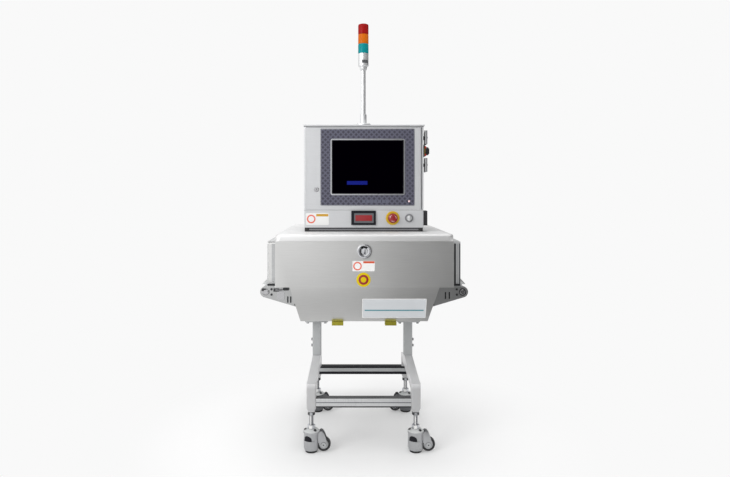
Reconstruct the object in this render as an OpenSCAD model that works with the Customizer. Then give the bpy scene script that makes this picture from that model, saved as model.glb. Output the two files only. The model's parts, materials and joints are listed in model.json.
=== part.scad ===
// X-ray inspection machine for a small packing line, in millimetres.
// X runs along the conveyor, -Y is the operator's side and Z is up.
// The origin is on the floor, below the middle of the machine.

/* [Stand] */
// Side of the square leg tube
leg_w = 40; // [34:1:46]
// Wall of every square tube in the stand
tube_wall = 3; // [2:0.5:4]
// Distance of the lower legs from the middle, along the conveyor
leg_x = 224; // [215:1:240]
// Distance of the lower legs from the middle, front to back
leg_y = 240; // [215:1:260]
// Height of the lower end of each leg
leg_bottom_z = 172; // [162:1:180]
// Height of the knee, where a leg leaves its sloped arm
knee_z = 278; // [268:1:296]
// Distance of the two posts from the middle
post_x = 213; // [206:1:220]
// Side of the inner post tube
post_w = 34; // [30:1:36]
// How far the post reaches into its sleeve
post_in = 117; // [100:1:130]
// Height of the post sleeve with its flange plate
sleeve_h = 172; // [160:1:180]
// Wall of the post sleeve
sleeve_wall = 2.7; // [2:0.1:3.5]
// Side of the square flange plate on a sleeve
flange_w = 105; // [98:1:115]
// Thickness of the flange plate
flange_t = 12; // [8:1:14]
// Spacing of the flange bolts
flange_bolt_pitch = 82; // [76:1:88]
// Diameter of the stand's bolts
bolt_d = 8; // [6:1:10]
// Height and depth of the crossbar tube
bar_w = 38; // [34:1:40]
// Height of the crossbars' lower face above the legs' lower ends
bar_rise = 21.5; // [16:0.5:32]

/* [Casters] */
// Diameter of the threaded stem
stem_d = 18; // [14:1:20]
// Diameter of the lock nut under the leg
nut_d = 32; // [28:1:34]
// Thickness of the lock nut
nut_h = 15; // [11:1:18]
// Diameter of the housing cup
cup_d = 63; // [58:1:66]
// Height of the cup's lower rim
cup_bottom_z = 11; // [10:1:14]
// Height of the cup's top
cup_top_z = 82; // [78:1:88]
// Thickness of the round top plate
cap_h = 7; // [5:1:9]
// Diameter of the round top plate
cap_d = 70; // [66:1:74]
// Distance from the stem to the wheel's axle
wheel_offset = 53; // [51:1:56]
// Diameter of the wheel
wheel_d = 60; // [54:1:62]
// Width of the tyre
wheel_w = 22; // [18:1:24]
// Gap between the wheel and the floor while the feet carry the machine
wheel_lift = 3; // [2:0.5:4]
// Diameter of the foot pad
foot_d = 52; // [46:1:54]
// Thickness of the foot's rubber pad
foot_h = 9; // [7:1:9]
// Diameter of the wheel that raises the foot
adjuster_d = 40; // [36:1:42]

/* [Body] */
// Width of the body at the front door
body_w = 716; // [700:2:730]
// Depth of the body over the door and the rear cover
body_d = 840; // [820:2:860]
// Height of the body's upright part, above its fold
upper_h = 185; // [177:1:193]
// Height of the fold, below which the body draws in, above the belt
fold_rise = 7; // [4:1:12]
// Height of the door's raked part, below the fold
lower_h = 150; // [141:1:161]
// How far each side draws in at the fold
fold_in = 58; // [53:1:63]
// How much further each side draws in down to the door's lower edge
door_taper = 38; // [33:1:45]
// How far the door's lower edge sits behind its upper face
door_rake = 70; // [60:1:76]
// Thickness of the door and the rear cover, front to back
door_t = 24; // [20:1:28]
// Gap between the door and the chamber
door_gap = 2; // [1.5:0.5:3]
// Sheet thickness of the door
door_sheet = 3; // [2:0.5:4]
// Thickness of the lead liner in the door
liner_t = 4; // [3:0.5:6]
// Wall of the chamber, steel with its lead
chamber_wall = 6; // [4:0.5:8]
// Drop from the door's lower edge to the belly's underside
belly_drop = 56; // [46:1:66]
// Drop from the door's lower edge to the end of the raked front
skirt_drop = 5; // [3:1:13]
// Half length of the flat belly, front to back
belly_y = 80; // [70:2:90]
// Height of the hipped cover above its edge
cover_rise = 31; // [28:1:40]
// Sheet thickness of the cover
cover_sheet = 3; // [2:0.5:4]
// How far the cover's slope runs in from each side
cover_hip_x = 30; // [24:1:40]
// How far the cover's slope runs in from the front and the back
cover_hip_y = 110; // [90:2:116]

/* [Door hinges and latch] */
// Distance of each hinge from the middle
hinge_x = 109; // [100:1:120]
// Width of a hinge block
hinge_w = 47; // [42:1:52]
// Diameter of the hinge pin
hinge_pin_d = 8; // [6:1:9]
// Drop from the body's top edge to the latch's centre
latch_drop = 40; // [36:1:48]
// Diameter of the latch's round plate
latch_d = 58; // [52:1:64]
// Diameter of the latch's barrel
latch_barrel_d = 26; // [22:1:30]
// How far the latch stands out of the door
latch_proud = 20; // [16:1:24]

/* [Conveyor and tunnel] */
// Height of the belt's top
belt_z = 724; // [722:0.5:725]
// Width of the belt
belt_w = 500; // [440:10:510]
// Thickness of the belt
belt_t = 2; // [1.5:0.5:3]
// Distance of the end rollers' shafts beyond the body's side
roller_out = 47; // [42:1:54]
// Diameter of the end rollers
roller_d = 39.4; // [36:0.2:40]
// Diameter of the fixed shafts in the end rollers
shaft_d = 20; // [16:1:22]
// Thickness of the end plates
plate_t = 12; // [8:1:14]
// Drop from the belt's top to the end plates' lowest corner
plate_drop = 86; // [78:1:92]
// Length of the tunnel hood beyond the body
hood_l = 48; // [44:1:52]
// How far the hood reaches past the mouth on each side
hood_side = 40; // [35:1:50]
// Drop from the body's top edge to the hood's top
hood_drop = 11; // [8:1:20]
// Sheet thickness of the hood
hood_sheet = 4; // [3:0.5:5]
// Air between the belt and each side of the tunnel's mouth
mouth_air = 10; // [8:1:15]
// Height of the hood's front above the mouth
lintel_h = 27; // [23:1:45]
// Number of strips in a curtain
curtain_strips = 10; // [6:1:12]
// Thickness of a curtain strip
curtain_t = 4; // [3:0.5:5]
// Diameter of the curtain rod
curtain_rod_d = 8; // [6:1:9]

/* [Display cabinet] */
// Width of the cabinet
cab_w = 502; // [494:2:510]
// Distance of the cabinet's front face behind the edge of the cover's slope
cab_step = 10; // [4:1:20]
// Distance of the cabinet's rear face behind the beam
cab_back_y = 100; // [98:1:120]
// Height of the plinth between the cover and the cabinet
plinth_h = 17; // [14:1:22]
// Height of the cabinet's body
cab_h = 426; // [420:1:440]
// Sheet thickness of the cabinet
cab_sheet = 3; // [2:0.5:4]
// Thickness of the cabinet's lid
lid_t = 6; // [5:1:9]
// Overhang of the lid
lid_lip = 4; // [2:1:6]
// Width of the cabinet's front on each side of the monitor door
mon_side = 9; // [8:1:12]
// Height of the cabinet's front below the monitor door
control_h = 76; // [72:1:82]
// Height of the cabinet's front above the monitor door
mon_top_in = 6; // [5:1:12]
// Depth of the monitor door's rolled rim
mon_t = 12; // [10:1:14]
// Distance of the membrane panel from the monitor door's left edge
panel_left = 60; // [56:1:64]
// Distance of the membrane panel from the monitor door's right edge
panel_right = 29; // [26:1:34]
// Distance of the membrane panel from the monitor door's lower edge
panel_low = 16; // [14:1:20]
// Distance of the membrane panel from the monitor door's upper edge
panel_top = 5; // [4:1:9]
// Width of the panel's film on each side of the screen
screen_side = 46; // [43:1:50]
// Height of the panel's film above and below the screen
screen_end = 48; // [46:1:51]
// Offset of the screen to the right of the panel's middle
screen_shift = 1; // [0:0.5:3]
// Height of the screen's middle above the panel's
screen_rise = 1; // [0:0.5:3]
// Height of the row of controls above the cabinet's underside
control_rise = 40; // [36:1:44]
// Width of the warning lamp's frame
lamp_w = 99; // [92:1:104]
// Height of the warning lamp's frame
lamp_h = 56; // [50:1:58]
// Distance of the emergency stop from the middle
stop_x = 121; // [114:1:128]
// Diameter of the emergency stop's ring
stop_ring_d = 58; // [54:1:60]
// Diameter of the emergency stop's mushroom button
stop_d = 40; // [36:1:44]
// Travel of the emergency stop
stop_travel = 5; // [4:0.5:6]
// Distance of the key switch from the middle
key_x = 190; // [184:1:196]
// Diameter of the key switch's collar
key_ring_d = 35; // [30:1:38]
// Drop from the cabinet's top to the main switch's axis
switch_drop = 102; // [96:1:108]

/* [Signal tower] */
// Distance of the tower behind the cabinet's front
tower_in = 100; // [80:5:120]
// Diameter of the pole
pole_d = 20; // [18:1:24]
// Diameter of the lenses
lens_d = 45; // [40:1:50]
// Height of one lens
lens_h = 41.5; // [38:0.5:44]
// Height of the pole's top above the cabinet's lid
pole_h = 250; // [220:2:260]
// Height of the lamp's white base
tower_base_h = 56; // [50:1:62]

/* [Hidden] */

$fn = 48;

// Places that follow from the sizes above, from the belt outwards
fold_z = belt_z + fold_rise;
body_top_z = fold_z + upper_h;
door_bottom_z = fold_z - lower_h;
belly_z = door_bottom_z - belly_drop;
skirt_z = door_bottom_z - skirt_drop;
fold_w = body_w - 2 * fold_in;
door_bottom_w = fold_w - 2 * door_taper;
latch_z = body_top_z - latch_drop;
sleeve_bottom_z = belly_z - sleeve_h;
post_top_z = sleeve_bottom_z + post_in;
bar_bottom_z = leg_bottom_z + bar_rise;
roller_x = body_w / 2 + roller_out;
plate_bottom_z = belt_z - plate_drop;
mouth_w = belt_w + 2 * mouth_air;
hood_d = mouth_w + 2 * hood_side;
hood_top_z = body_top_z - hood_drop;
mouth_top_z = hood_top_z - lintel_h;
cab_front_y = body_d / 2 - cover_hip_y - cab_step;
cab_d = cab_front_y + cab_back_y;
cab_bottom_z = body_top_z + cover_rise + plinth_h;
cab_top_z = cab_bottom_z + cab_h;
mon_w = cab_w - 2 * mon_side;
mon_bottom_z = cab_bottom_z + control_h;
mon_h = cab_h - control_h - mon_top_in;
panel_w = mon_w - panel_left - panel_right;
panel_x = (panel_left - panel_right) / 2;
panel_h = mon_h - panel_low - panel_top;
panel_z = mon_bottom_z + panel_low + panel_h / 2;
screen_w = panel_w - 2 * screen_side;
screen_h = panel_h - 2 * screen_end;
screen_x = panel_x + screen_shift;
screen_z = panel_z + screen_rise;
control_z = cab_bottom_z + control_rise;
switch_z = cab_top_z - switch_drop;
tower_y = cab_front_y - tower_in;

// Overrun of a cut past the face that it opens
over = 1;
// Radial running clearance of a shaft, pin or sleeve in its bore
run_fit = 0.05;
// Gap between neighbours that lie close without touching
seat_gap = 0.3;
// Gap around a lid, door or button
reveal = 1;

leg_corner_r = 5;
arm_root_z = sleeve_bottom_z - seat_gap;
arm_h = leg_w;
arm_w = 36;
arm_root_h = 48;
arm_end_in = 4;
arm_end_y = leg_y + leg_w / 2 - arm_end_in;
leg_top_drop = 4;
foot_plug_h = 10;
foot_taper_h = 16;
foot_taper = 5;
sleeve_w = post_w + 2 * (sleeve_wall + seat_gap);
flange_z = belly_z - flange_t;
sleeve_bolt_rise = 70;
sleeve_bolt_z = sleeve_bottom_z + sleeve_bolt_rise;
sleeve_bolt_pitch = 28;
bolt_head_h = 5.5;
bolt_head_d = 13;
washer_t = 1.5;
washer_d = 18;
bar_l = 2 * leg_x - leg_w;

// A rectangle with round corners, centred
module round_rect(w, h, r) {
  square([w - 2 * r, h], center = true);
  square([w, h - 2 * r], center = true);
  for (sx = [-1, 1], sy = [-1, 1])
    translate([sx * (w / 2 - r), sy * (h / 2 - r)]) circle(r);
}

// A round rectangle that stands up to height h
module post_block(w, d, h, r) {
  linear_extrude(h) round_rect(w, d, r);
}

// A square tube along Z
module square_tube(w, h, wall, r) {
  difference() {
    post_block(w, w, h, r);
    translate([0, 0, -over]) post_block(w - 2 * wall, w - 2 * wall, h + 2 * over, r - wall / 2);
  }
}

// An outline drawn in X and Z, extruded from y0 to y1
module along_y(y0, y1) {
  translate([0, y1, 0]) rotate([90, 0, 0]) linear_extrude(y1 - y0) children();
}

// An outline drawn in Y and Z, extruded from x0 to x1
module along_x(x0, x1) {
  translate([x0, 0, 0]) rotate([90, 0, 90]) linear_extrude(x1 - x0) children();
}

// A round bar along Y, from y0 to y1
module bar_y(d, y0, y1) {
  translate([0, y1, 0]) rotate([90, 0, 0]) cylinder(h = y1 - y0, d = d);
}

// A round bar along X, from x0 to x1
module bar_x(d, x0, x1) {
  translate([x0, 0, 0]) rotate([0, 90, 0]) cylinder(h = x1 - x0, d = d);
}

// A hex bolt head on its washer, with the shank going down
module bolt_down(d, grip) {
  cylinder(h = bolt_head_h, d = bolt_head_d, $fn = 6);
  translate([0, 0, -washer_t]) cylinder(h = washer_t, d = washer_d);
  translate([0, 0, -grip]) cylinder(h = grip, d = d);
}

// Side outline of one sloped arm, drawn from the post outwards
module arm_side() {
  slope = (knee_z + arm_h / 2 - arm_root_z) / (leg_y - post_w / 2);
  end_z = arm_root_z + slope * (arm_end_y - post_w / 2);
  polygon([
    [0, arm_root_z], [post_w / 2, arm_root_z], [arm_end_y, end_z],
    [arm_end_y, end_z - arm_h], [0, arm_root_z - arm_root_h]
  ]);
}

// The arm seen from above: it leans outwards from the post to the leg
module arm_plan(side) {
  lean = side * (leg_x - post_x) * arm_end_y / leg_y;
  polygon([
    [-arm_w / 2, 0], [arm_w / 2, 0], [arm_w / 2 + lean, arm_end_y], [-arm_w / 2 + lean, arm_end_y]
  ]);
}

module side_frame(side) {
  plug_top_z = leg_bottom_z + foot_taper_h + foot_plug_h;
  leg_top_z = knee_z + arm_h / 2 - leg_top_drop;
  bore_w = leg_w - 2 * tube_wall;
  core_w = post_w - 2 * tube_wall;
  core_low_z = arm_root_z - arm_root_h - over;
  difference() {
    union() {
      translate([side * post_x, 0, arm_root_z - arm_h])
        post_block(post_w, post_w, post_top_z - arm_root_z + arm_h, leg_corner_r);
      for (s = [0, 1]) mirror([0, s, 0]) {
        translate([side * post_x, 0, 0]) intersection() {
          along_x(-leg_w, leg_w) arm_side();
          linear_extrude(post_top_z) arm_plan(side);
        }
        translate([side * leg_x, leg_y, leg_bottom_z]) {
          post_block(leg_w - 2 * foot_taper, leg_w - 2 * foot_taper, foot_taper_h + foot_plug_h, leg_corner_r);
          translate([0, 0, foot_taper_h / 2]) post_block(leg_w - foot_taper, leg_w - foot_taper,
                                                         foot_taper_h / 2 + foot_plug_h, leg_corner_r);
          translate([0, 0, foot_taper_h])
            post_block(leg_w, leg_w, leg_top_z - leg_bottom_z - foot_taper_h, leg_corner_r);
        }
      }
    }
    translate([side * post_x, 0, core_low_z])
      post_block(core_w, core_w, post_top_z + over - core_low_z, leg_corner_r - tube_wall / 2);
    for (s = [0, 1]) mirror([0, s, 0]) translate([side * leg_x, leg_y, 0]) {
      translate([0, 0, plug_top_z])
        post_block(bore_w, bore_w, knee_z - arm_h / 2 - plug_top_z, leg_corner_r - tube_wall / 2);
      translate([0, 0, leg_bottom_z - over])
        cylinder(h = plug_top_z - leg_bottom_z + 2 * over, d = stem_d + 2 * run_fit);
    }
  }
}

module left_side_frame() { color("gainsboro") side_frame(-1); }
module right_side_frame() { color("gainsboro") side_frame(1); }

module crossbars() {
  color("silver")
    for (end = [-1, 1])
      translate([-bar_l / 2, end * leg_y, bar_bottom_z + bar_w / 2]) rotate([0, 90, 0])
        square_tube(bar_w, bar_l, tube_wall, leg_corner_r);
}

module post_sleeves() {
  color("dimgray")
    for (side = [-1, 1]) translate([side * post_x, 0, 0]) {
      difference() {
        union() {
          translate([0, 0, sleeve_bottom_z])
            post_block(sleeve_w, sleeve_w, flange_z - sleeve_bottom_z, leg_corner_r);
          translate([0, 0, flange_z]) post_block(flange_w, flange_w, flange_t, leg_corner_r);
        }
        translate([0, 0, sleeve_bottom_z - over])
          post_block(post_w + 2 * seat_gap, post_w + 2 * seat_gap,
                     flange_z - sleeve_bottom_z + over, leg_corner_r);
        for (sx = [-1, 1], sy = [-1, 1])
          translate([sx * flange_bolt_pitch / 2, sy * flange_bolt_pitch / 2, flange_z - over])
            cylinder(h = flange_t + 2 * over, d = bolt_d + 2 * run_fit);
        for (k = [0, 1])
          translate([0, 0, sleeve_bolt_z - k * sleeve_bolt_pitch])
            bar_x(bolt_d + 2 * run_fit, -sleeve_w, sleeve_w);
      }
    }
}

module stand_bolts() {
  color("darkgray")
    for (side = [-1, 1]) translate([side * post_x, 0, 0]) {
      for (sx = [-1, 1], sy = [-1, 1])
        translate([sx * flange_bolt_pitch / 2, sy * flange_bolt_pitch / 2, flange_z - washer_t])
          mirror([0, 0, 1]) bolt_down(bolt_d, flange_t);
      for (k = [0, 1])
        translate([side * (sleeve_w / 2 + washer_t), 0, sleeve_bolt_z - k * sleeve_bolt_pitch])
          rotate([0, side * 90, 0]) bolt_down(bolt_d, (sleeve_w - post_w) / 2 + washer_t);
    }
}

stem_top_z = leg_bottom_z + foot_taper_h;
stem_head_d = 28;
stem_head_h = 5;
stem_shoulder_h = 4;
cup_wall = 3;
cup_in_d = cup_d - 2 * cup_wall;
cap_z = cup_top_z;
stem_low_z = cap_z - seat_gap - stem_head_h;
axle_d = 8;
axle_z = wheel_lift + wheel_d / 2;
fork_gap = 1;
fork_top_air = 2;
fork_t = 4;
fork_eye_d = 26;
spindle_d = 12;
spindle_top_z = 70;
web_z = 66;
web_h = 8;
adjuster_z = 34;
adjuster_h = 12;
window_d = 27;
window_z = 52;
window_turn = -114;
half_turn = 180;
tyre_r = 4;
hub_d = 20;
hub_w = 21;
disc_w = 12;

module caster_stems() {
  color("gray")
    for (sx = [-1, 1], sy = [-1, 1]) translate([sx * leg_x, sy * leg_y, 0]) {
      translate([0, 0, stem_low_z]) cylinder(h = stem_top_z - stem_low_z, d = stem_d);
      translate([0, 0, stem_low_z]) cylinder(h = stem_head_h, d = stem_head_d);
      translate([0, 0, cap_z + cap_h + seat_gap]) cylinder(h = stem_shoulder_h, d = stem_head_d);
      translate([0, 0, leg_bottom_z - nut_h]) cylinder(h = nut_h, d = nut_d, $fn = 6);
    }
}

// One cheek of the fork, from the cup down to the axle
module fork_outline() {
  translate([wheel_offset, axle_z]) circle(d = fork_eye_d);
  polygon([
    [cup_in_d / 2 - cup_wall, cup_top_z], [cup_d / 2 + cup_wall, cup_top_z],
    [wheel_offset + fork_eye_d / 2, axle_z], [wheel_offset - fork_eye_d / 2, axle_z],
    [cup_in_d / 2 - cup_wall, axle_z + fork_eye_d / 2]
  ]);
}

module caster_housing(sx, sy, turn) {
  cheek_y = wheel_w / 2 + fork_gap;
  color("lightgray") translate([sx * leg_x, sy * leg_y, 0]) rotate([0, 0, turn]) difference() {
    union() {
      difference() {
        translate([0, 0, cup_bottom_z]) cylinder(h = cup_top_z - cup_bottom_z, d = cup_d);
        translate([0, 0, cup_bottom_z - over]) cylinder(h = web_z - cup_bottom_z + over, d = cup_in_d);
        translate([0, 0, web_z + web_h])
          cylinder(h = cup_top_z - web_z - web_h + over, d = cup_in_d);
        translate([cup_d / 4, -cheek_y, cup_bottom_z - over])
          cube([cup_d / 2, 2 * cheek_y, axle_z + wheel_d / 2 + fork_top_air - cup_bottom_z + over]);
        translate([0, 0, window_z]) rotate([90, 0, window_turn + 90])
          cylinder(h = cup_d, d = window_d);
      }
      translate([0, 0, cap_z]) cylinder(h = cap_h, d = cap_d);
      for (s = [0, 1]) mirror([0, s, 0])
        along_y(cheek_y, cheek_y + fork_t) fork_outline();
      translate([wheel_offset, 0, axle_z]) bar_y(axle_d, -cheek_y - fork_t, cheek_y + fork_t);
    }
    translate([0, 0, web_z - over]) cylinder(h = web_h + 2 * over, d = spindle_d + 2 * run_fit);
    translate([0, 0, cap_z - over]) cylinder(h = cap_h + 2 * over, d = stem_d + 2 * run_fit);
  }
}

module caster_wheel(sx, sy, turn) {
  color("dimgray") translate([sx * leg_x, sy * leg_y, axle_z]) rotate([0, 0, turn])
    translate([wheel_offset, 0, 0]) rotate([90, 0, 0]) rotate_extrude() {
        translate([axle_d / 2 + run_fit, -hub_w / 2]) square([hub_d / 2 - axle_d / 2, hub_w]);
        translate([axle_d / 2 + run_fit, -disc_w / 2]) square([wheel_d / 2 - axle_d / 2 - 2 * tyre_r, disc_w]);
        translate([wheel_d / 2 - 2 * tyre_r - tyre_r, -wheel_w / 2]) square([2 * tyre_r, wheel_w]);
        translate([wheel_d / 2 - 2 * tyre_r, -wheel_w / 2 + tyre_r]) square([2 * tyre_r, wheel_w - 2 * tyre_r]);
        for (s = [-1, 1]) translate([wheel_d / 2 - tyre_r, s * (wheel_w / 2 - tyre_r)]) circle(tyre_r);
    }
}

module caster_foot(sx, sy) {
  color("black") translate([sx * leg_x, sy * leg_y, 0]) {
    cylinder(h = foot_h, d = foot_d);
    cylinder(h = spindle_top_z, d = spindle_d);
    translate([0, 0, adjuster_z]) cylinder(h = adjuster_h, d = adjuster_d);
  }
}

module front_left_caster() { caster_housing(-1, -1, 0); }
module front_right_caster() { caster_housing(1, -1, 0); }
module rear_left_caster() { caster_housing(-1, 1, 0); }
module rear_right_caster() { caster_housing(1, 1, half_turn); }
module front_left_wheel() { caster_wheel(-1, -1, 0); }
module front_right_wheel() { caster_wheel(1, -1, 0); }
module rear_left_wheel() { caster_wheel(-1, 1, 0); }
module rear_right_wheel() { caster_wheel(1, 1, half_turn); }
module front_left_foot() { caster_foot(-1, -1); }
module front_right_foot() { caster_foot(1, -1); }
module rear_left_foot() { caster_foot(-1, 1); }
module rear_right_foot() { caster_foot(1, 1); }

shell_inset = 6;
shell_x = body_w / 2 - shell_inset;
shell_y = body_d / 2 - door_t - door_gap;
slope_x = (fold_w - door_bottom_w) / 2 / (fold_z - door_bottom_z);
slope_y = door_rake / (fold_z - door_bottom_z);
rim = 30;
rib_w = 16;
plate_y = shell_y - rake_at(plate_bottom_z);
pass_y = plate_y - plate_t + door_gap;
belt_bottom_z = belt_z - 2 * belt_t - roller_d - 2 * seat_gap;
pass_z = belt_bottom_z - chamber_wall;
beam_slot_x = 45;
beam_slot_y = 70;
deck_in = 58;
deck_x = body_w / 2 - deck_in;
deck_y = cab_front_y;
cover_corner_r = 14;

// Half width of the lower body at height z
function lower_x(z) = fold_w / 2 - (fold_z - z) * slope_x;
// How far the raked front lies behind the upper front at height z
function rake_at(z) = max(0, fold_z - z) * slope_y;

// Front view of the body, drawn in by a margin
module body_front(half_w, lower_in, m, low_z, top_z) {
  polygon([
    [-half_w + m, top_z - m], [half_w - m, top_z - m],
    [half_w - m, fold_z + m], [lower_x(fold_z) - lower_in - m, fold_z + m],
    [lower_x(low_z) - lower_in - m, low_z + m],
    [-lower_x(low_z) + lower_in + m, low_z + m],
    [-lower_x(fold_z) + lower_in + m, fold_z + m], [-half_w + m, fold_z + m]
  ]);
}

// Side view of the body, drawn in by a margin
module body_side(half_d, m, low_z, top_z) {
  skirt_y = half_d - rake_at(skirt_z) - m;
  polygon([
    [-half_d + m, top_z - m], [half_d - m, top_z - m], [half_d - m, fold_z],
    [skirt_y, skirt_z + m], [belly_y, low_z + m], [-belly_y, low_z + m],
    [-skirt_y, skirt_z + m], [-half_d + m, fold_z]
  ]);
}

// Height of the sloped underside at a distance y from the middle
function under_z(y) =
  belly_z + (skirt_z - belly_z) * (y - belly_y) / (shell_y - rake_at(skirt_z) - belly_y);

module body_solid(m) {
  intersection() {
    along_y(-body_d, body_d) body_front(shell_x, shell_inset, m, belly_z, body_top_z);
    along_x(-body_w, body_w) body_side(shell_y, m, belly_z, body_top_z);
  }
}

// The opening behind the door, and the one behind the rear cover
module access_outline() {
  polygon([
    [-shell_x + rim, body_top_z - rib_w], [shell_x - rim, body_top_z - rib_w],
    [shell_x - rim, fold_z + rib_w], [fold_w / 2 - rim, fold_z],
    [door_bottom_w / 2 - rim, door_bottom_z + rim], [-door_bottom_w / 2 + rim, door_bottom_z + rim],
    [-fold_w / 2 + rim, fold_z], [-shell_x + rim, fold_z + rib_w]
  ]);
}

module chamber_shell() {
  color("silver") difference() {
    body_solid(0);
    body_solid(chamber_wall);
    along_y(-body_d, body_d) access_outline();
    translate([-shell_x + rim, -shell_y + rim, body_top_z - rim])
      cube([2 * (shell_x - rim), 2 * (shell_y - rim), rim + over]);
    translate([-body_w / 2, -pass_y, pass_z]) cube([body_w, 2 * pass_y, fold_z - pass_z]);
    translate([-body_w / 2, -mouth_w / 2, fold_z - over])
      cube([body_w, mouth_w, mouth_top_z - fold_z + over]);
  }
}

// The hipped cover as a solid, drawn in by a margin
module hip_solid(m) {
  intersection() {
    along_y(-body_d, body_d) polygon([
      [-body_w / 2 + m, body_top_z], [body_w / 2 - m, body_top_z],
      [body_w / 2 - cover_hip_x - m, body_top_z + cover_rise],
      [-body_w / 2 + cover_hip_x + m, body_top_z + cover_rise]
    ]);
    along_x(-body_w, body_w) polygon([
      [-body_d / 2 + m, body_top_z], [body_d / 2 - m, body_top_z],
      [body_d / 2 - cover_hip_y - m, body_top_z + cover_rise],
      [-body_d / 2 + cover_hip_y + m, body_top_z + cover_rise]
    ]);
    translate([0, 0, body_top_z - over])
      post_block(body_w - 2 * m, body_d - 2 * m, cover_rise + 2 * over, cover_corner_r - m);
  }
}

module top_cover() {
  color("white") difference() {
    hip_solid(0);
    intersection() {
      translate([0, 0, -cover_sheet]) hip_solid(cover_sheet);
      translate([-body_w, -body_d, body_top_z + cover_sheet]) cube([2 * body_w, 2 * body_d, cover_rise]);
    }
    translate([-deck_x, -deck_y, body_top_z - over])
      cube([2 * deck_x, 2 * deck_y, cover_sheet + 2 * over]);
    translate([-beam_slot_x, -beam_slot_y, body_top_z])
      cube([2 * beam_slot_x, 2 * beam_slot_y, cover_rise + over]);
  }
}

// Front view of the door and the rear cover
module door_front(m) {
  polygon([
    [-body_w / 2 + m, body_top_z - m], [body_w / 2 - m, body_top_z - m],
    [body_w / 2 - m, fold_z + m], [fold_w / 2 - m, fold_z + m],
    [door_bottom_w / 2 - m, door_bottom_z + m], [-door_bottom_w / 2 + m, door_bottom_z + m],
    [-fold_w / 2 + m, fold_z + m], [-body_w / 2 + m, fold_z + m]
  ]);
}

// Side view of a layer of the door, from depth a to depth b behind its face
module door_layer(a, b) {
  front = body_d / 2;
  polygon([
    [-front + a, body_top_z + over], [-front + b, body_top_z + over], [-front + b, fold_z],
    [-front + rake_at(door_bottom_z - rim) + b, door_bottom_z - rim],
    [-front + rake_at(door_bottom_z - rim) + a, door_bottom_z - rim], [-front + a, fold_z]
  ]);
}

module door_slice(m, a, b) {
  intersection() {
    along_y(-body_d, body_d) door_front(m);
    along_x(-body_w, body_w) door_layer(a, b);
  }
}

module door_pan(depth) {
  difference() {
    door_slice(0, 0, depth);
    door_slice(door_sheet, door_sheet, depth + over);
  }
}

latch_axis_y = body_d / 2;

module front_door() {
  color("gainsboro") difference() {
    door_pan(door_t);
    translate([0, 0, latch_z])
      bar_y(latch_barrel_d + 2 * run_fit, -latch_axis_y - over, -latch_axis_y + door_sheet + over);
  }
}

module door_liner() {
  color("slategray") difference() {
    door_slice(door_sheet, door_t - liner_t, door_t);
    translate([0, 0, latch_z])
      bar_y(latch_barrel_d + 2 * run_fit, -latch_axis_y, -latch_axis_y + 2 * door_t);
  }
}

fan_w = 160;
fan_drop = 86;
fan_z = body_top_z - fan_drop;
fan_hole_d = 120;

module rear_cover() {
  color("gainsboro") mirror([0, 1, 0]) difference() {
    door_pan(door_t + door_gap);
    translate([0, 0, fan_z]) bar_y(fan_hole_d, -body_d / 2 - over, -body_d / 2 + door_sheet + over);
  }
}

louvre_count = 6;
louvre_h = 5;

module rear_fan_grille() {
  color("dimgray") difference() {
    translate([0, body_d / 2 + latch_proud, fan_z]) rotate([90, 0, 0])
      post_block(fan_w, fan_w, latch_proud, cover_corner_r);
    translate([0, 0, fan_z])
      bar_y(fan_hole_d, body_d / 2 - over, body_d / 2 + latch_proud - louvre_h);
    for (k = [0 : louvre_count - 1])
      translate([-fan_w / 2 + cover_corner_r, body_d / 2 + over,
                 fan_z + (k - (louvre_count - 1) / 2) * fan_w / (louvre_count + 2) - louvre_h / 2])
        cube([fan_w - 2 * cover_corner_r, latch_proud, louvre_h]);
  }
}

hinge_h = 15;
hinge_fore = 16;
hinge_aft = 14;
hinge_rise = 9;
hinge_axis_z = door_bottom_z - hinge_rise;
hinge_back = 4;
hinge_axis_y = body_d / 2 - rake_at(door_bottom_z) - hinge_back;
lug_eye_d = 14;
lug_w = 17;
lug_h = 12;
lug_air = 0.5;
lug_reach = 50;
lug_root_y = shell_y - rake_at(skirt_z);

module hinge_blocks() {
  color("goldenrod")
    for (s = [-1, 1]) translate([s * hinge_x, -hinge_axis_y, hinge_axis_z]) difference() {
      translate([-hinge_w / 2, -hinge_fore, hinge_rise - hinge_h])
        cube([hinge_w, hinge_fore + hinge_aft, hinge_h]);
      translate([-lug_w / 2 - lug_air, -lug_eye_d / 2 - lug_air, -hinge_h])
        cube([lug_w + 2 * lug_air, hinge_fore + hinge_aft, hinge_h + lug_eye_d / 2 + lug_air]);
      bar_x(hinge_pin_d + 2 * run_fit, -hinge_w, hinge_w);
    }
}

module hinge_lugs() {
  color("silver")
    for (s = [-1, 1]) translate([s * hinge_x, 0, 0]) {
      along_x(-lug_w / 2, lug_w / 2) {
        translate([-hinge_axis_y, hinge_axis_z]) circle(d = lug_eye_d);
        polygon([
          [-hinge_axis_y, hinge_axis_z - lug_h / 2], [-hinge_axis_y, hinge_axis_z + lug_h / 2],
          [-lug_root_y, under_z(lug_root_y)], [-lug_root_y + lug_reach, under_z(lug_root_y - lug_reach)],
          [-lug_root_y + lug_reach / 2, hinge_axis_z - lug_h / 2]
        ]);
      }
      translate([0, -hinge_axis_y, hinge_axis_z]) bar_x(hinge_pin_d, -hinge_w / 2, hinge_w / 2);
    }
}

latch_plate_t = 8;
latch_recess_d = 40;
latch_grip_h = 9;
cam_l = 30;
cam_w = 16;
cam_t = 4;
cam_air = 10;

module latch_plate() {
  color("gainsboro") translate([0, 0, latch_z]) difference() {
    bar_y(latch_d, -latch_axis_y - latch_plate_t, -latch_axis_y);
    bar_y(latch_recess_d, -latch_axis_y - latch_plate_t - over, -latch_axis_y - latch_plate_t / 2);
    bar_y(latch_barrel_d + 2 * run_fit, -latch_axis_y - latch_plate_t - over, -latch_axis_y + over);
  }
}

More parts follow.
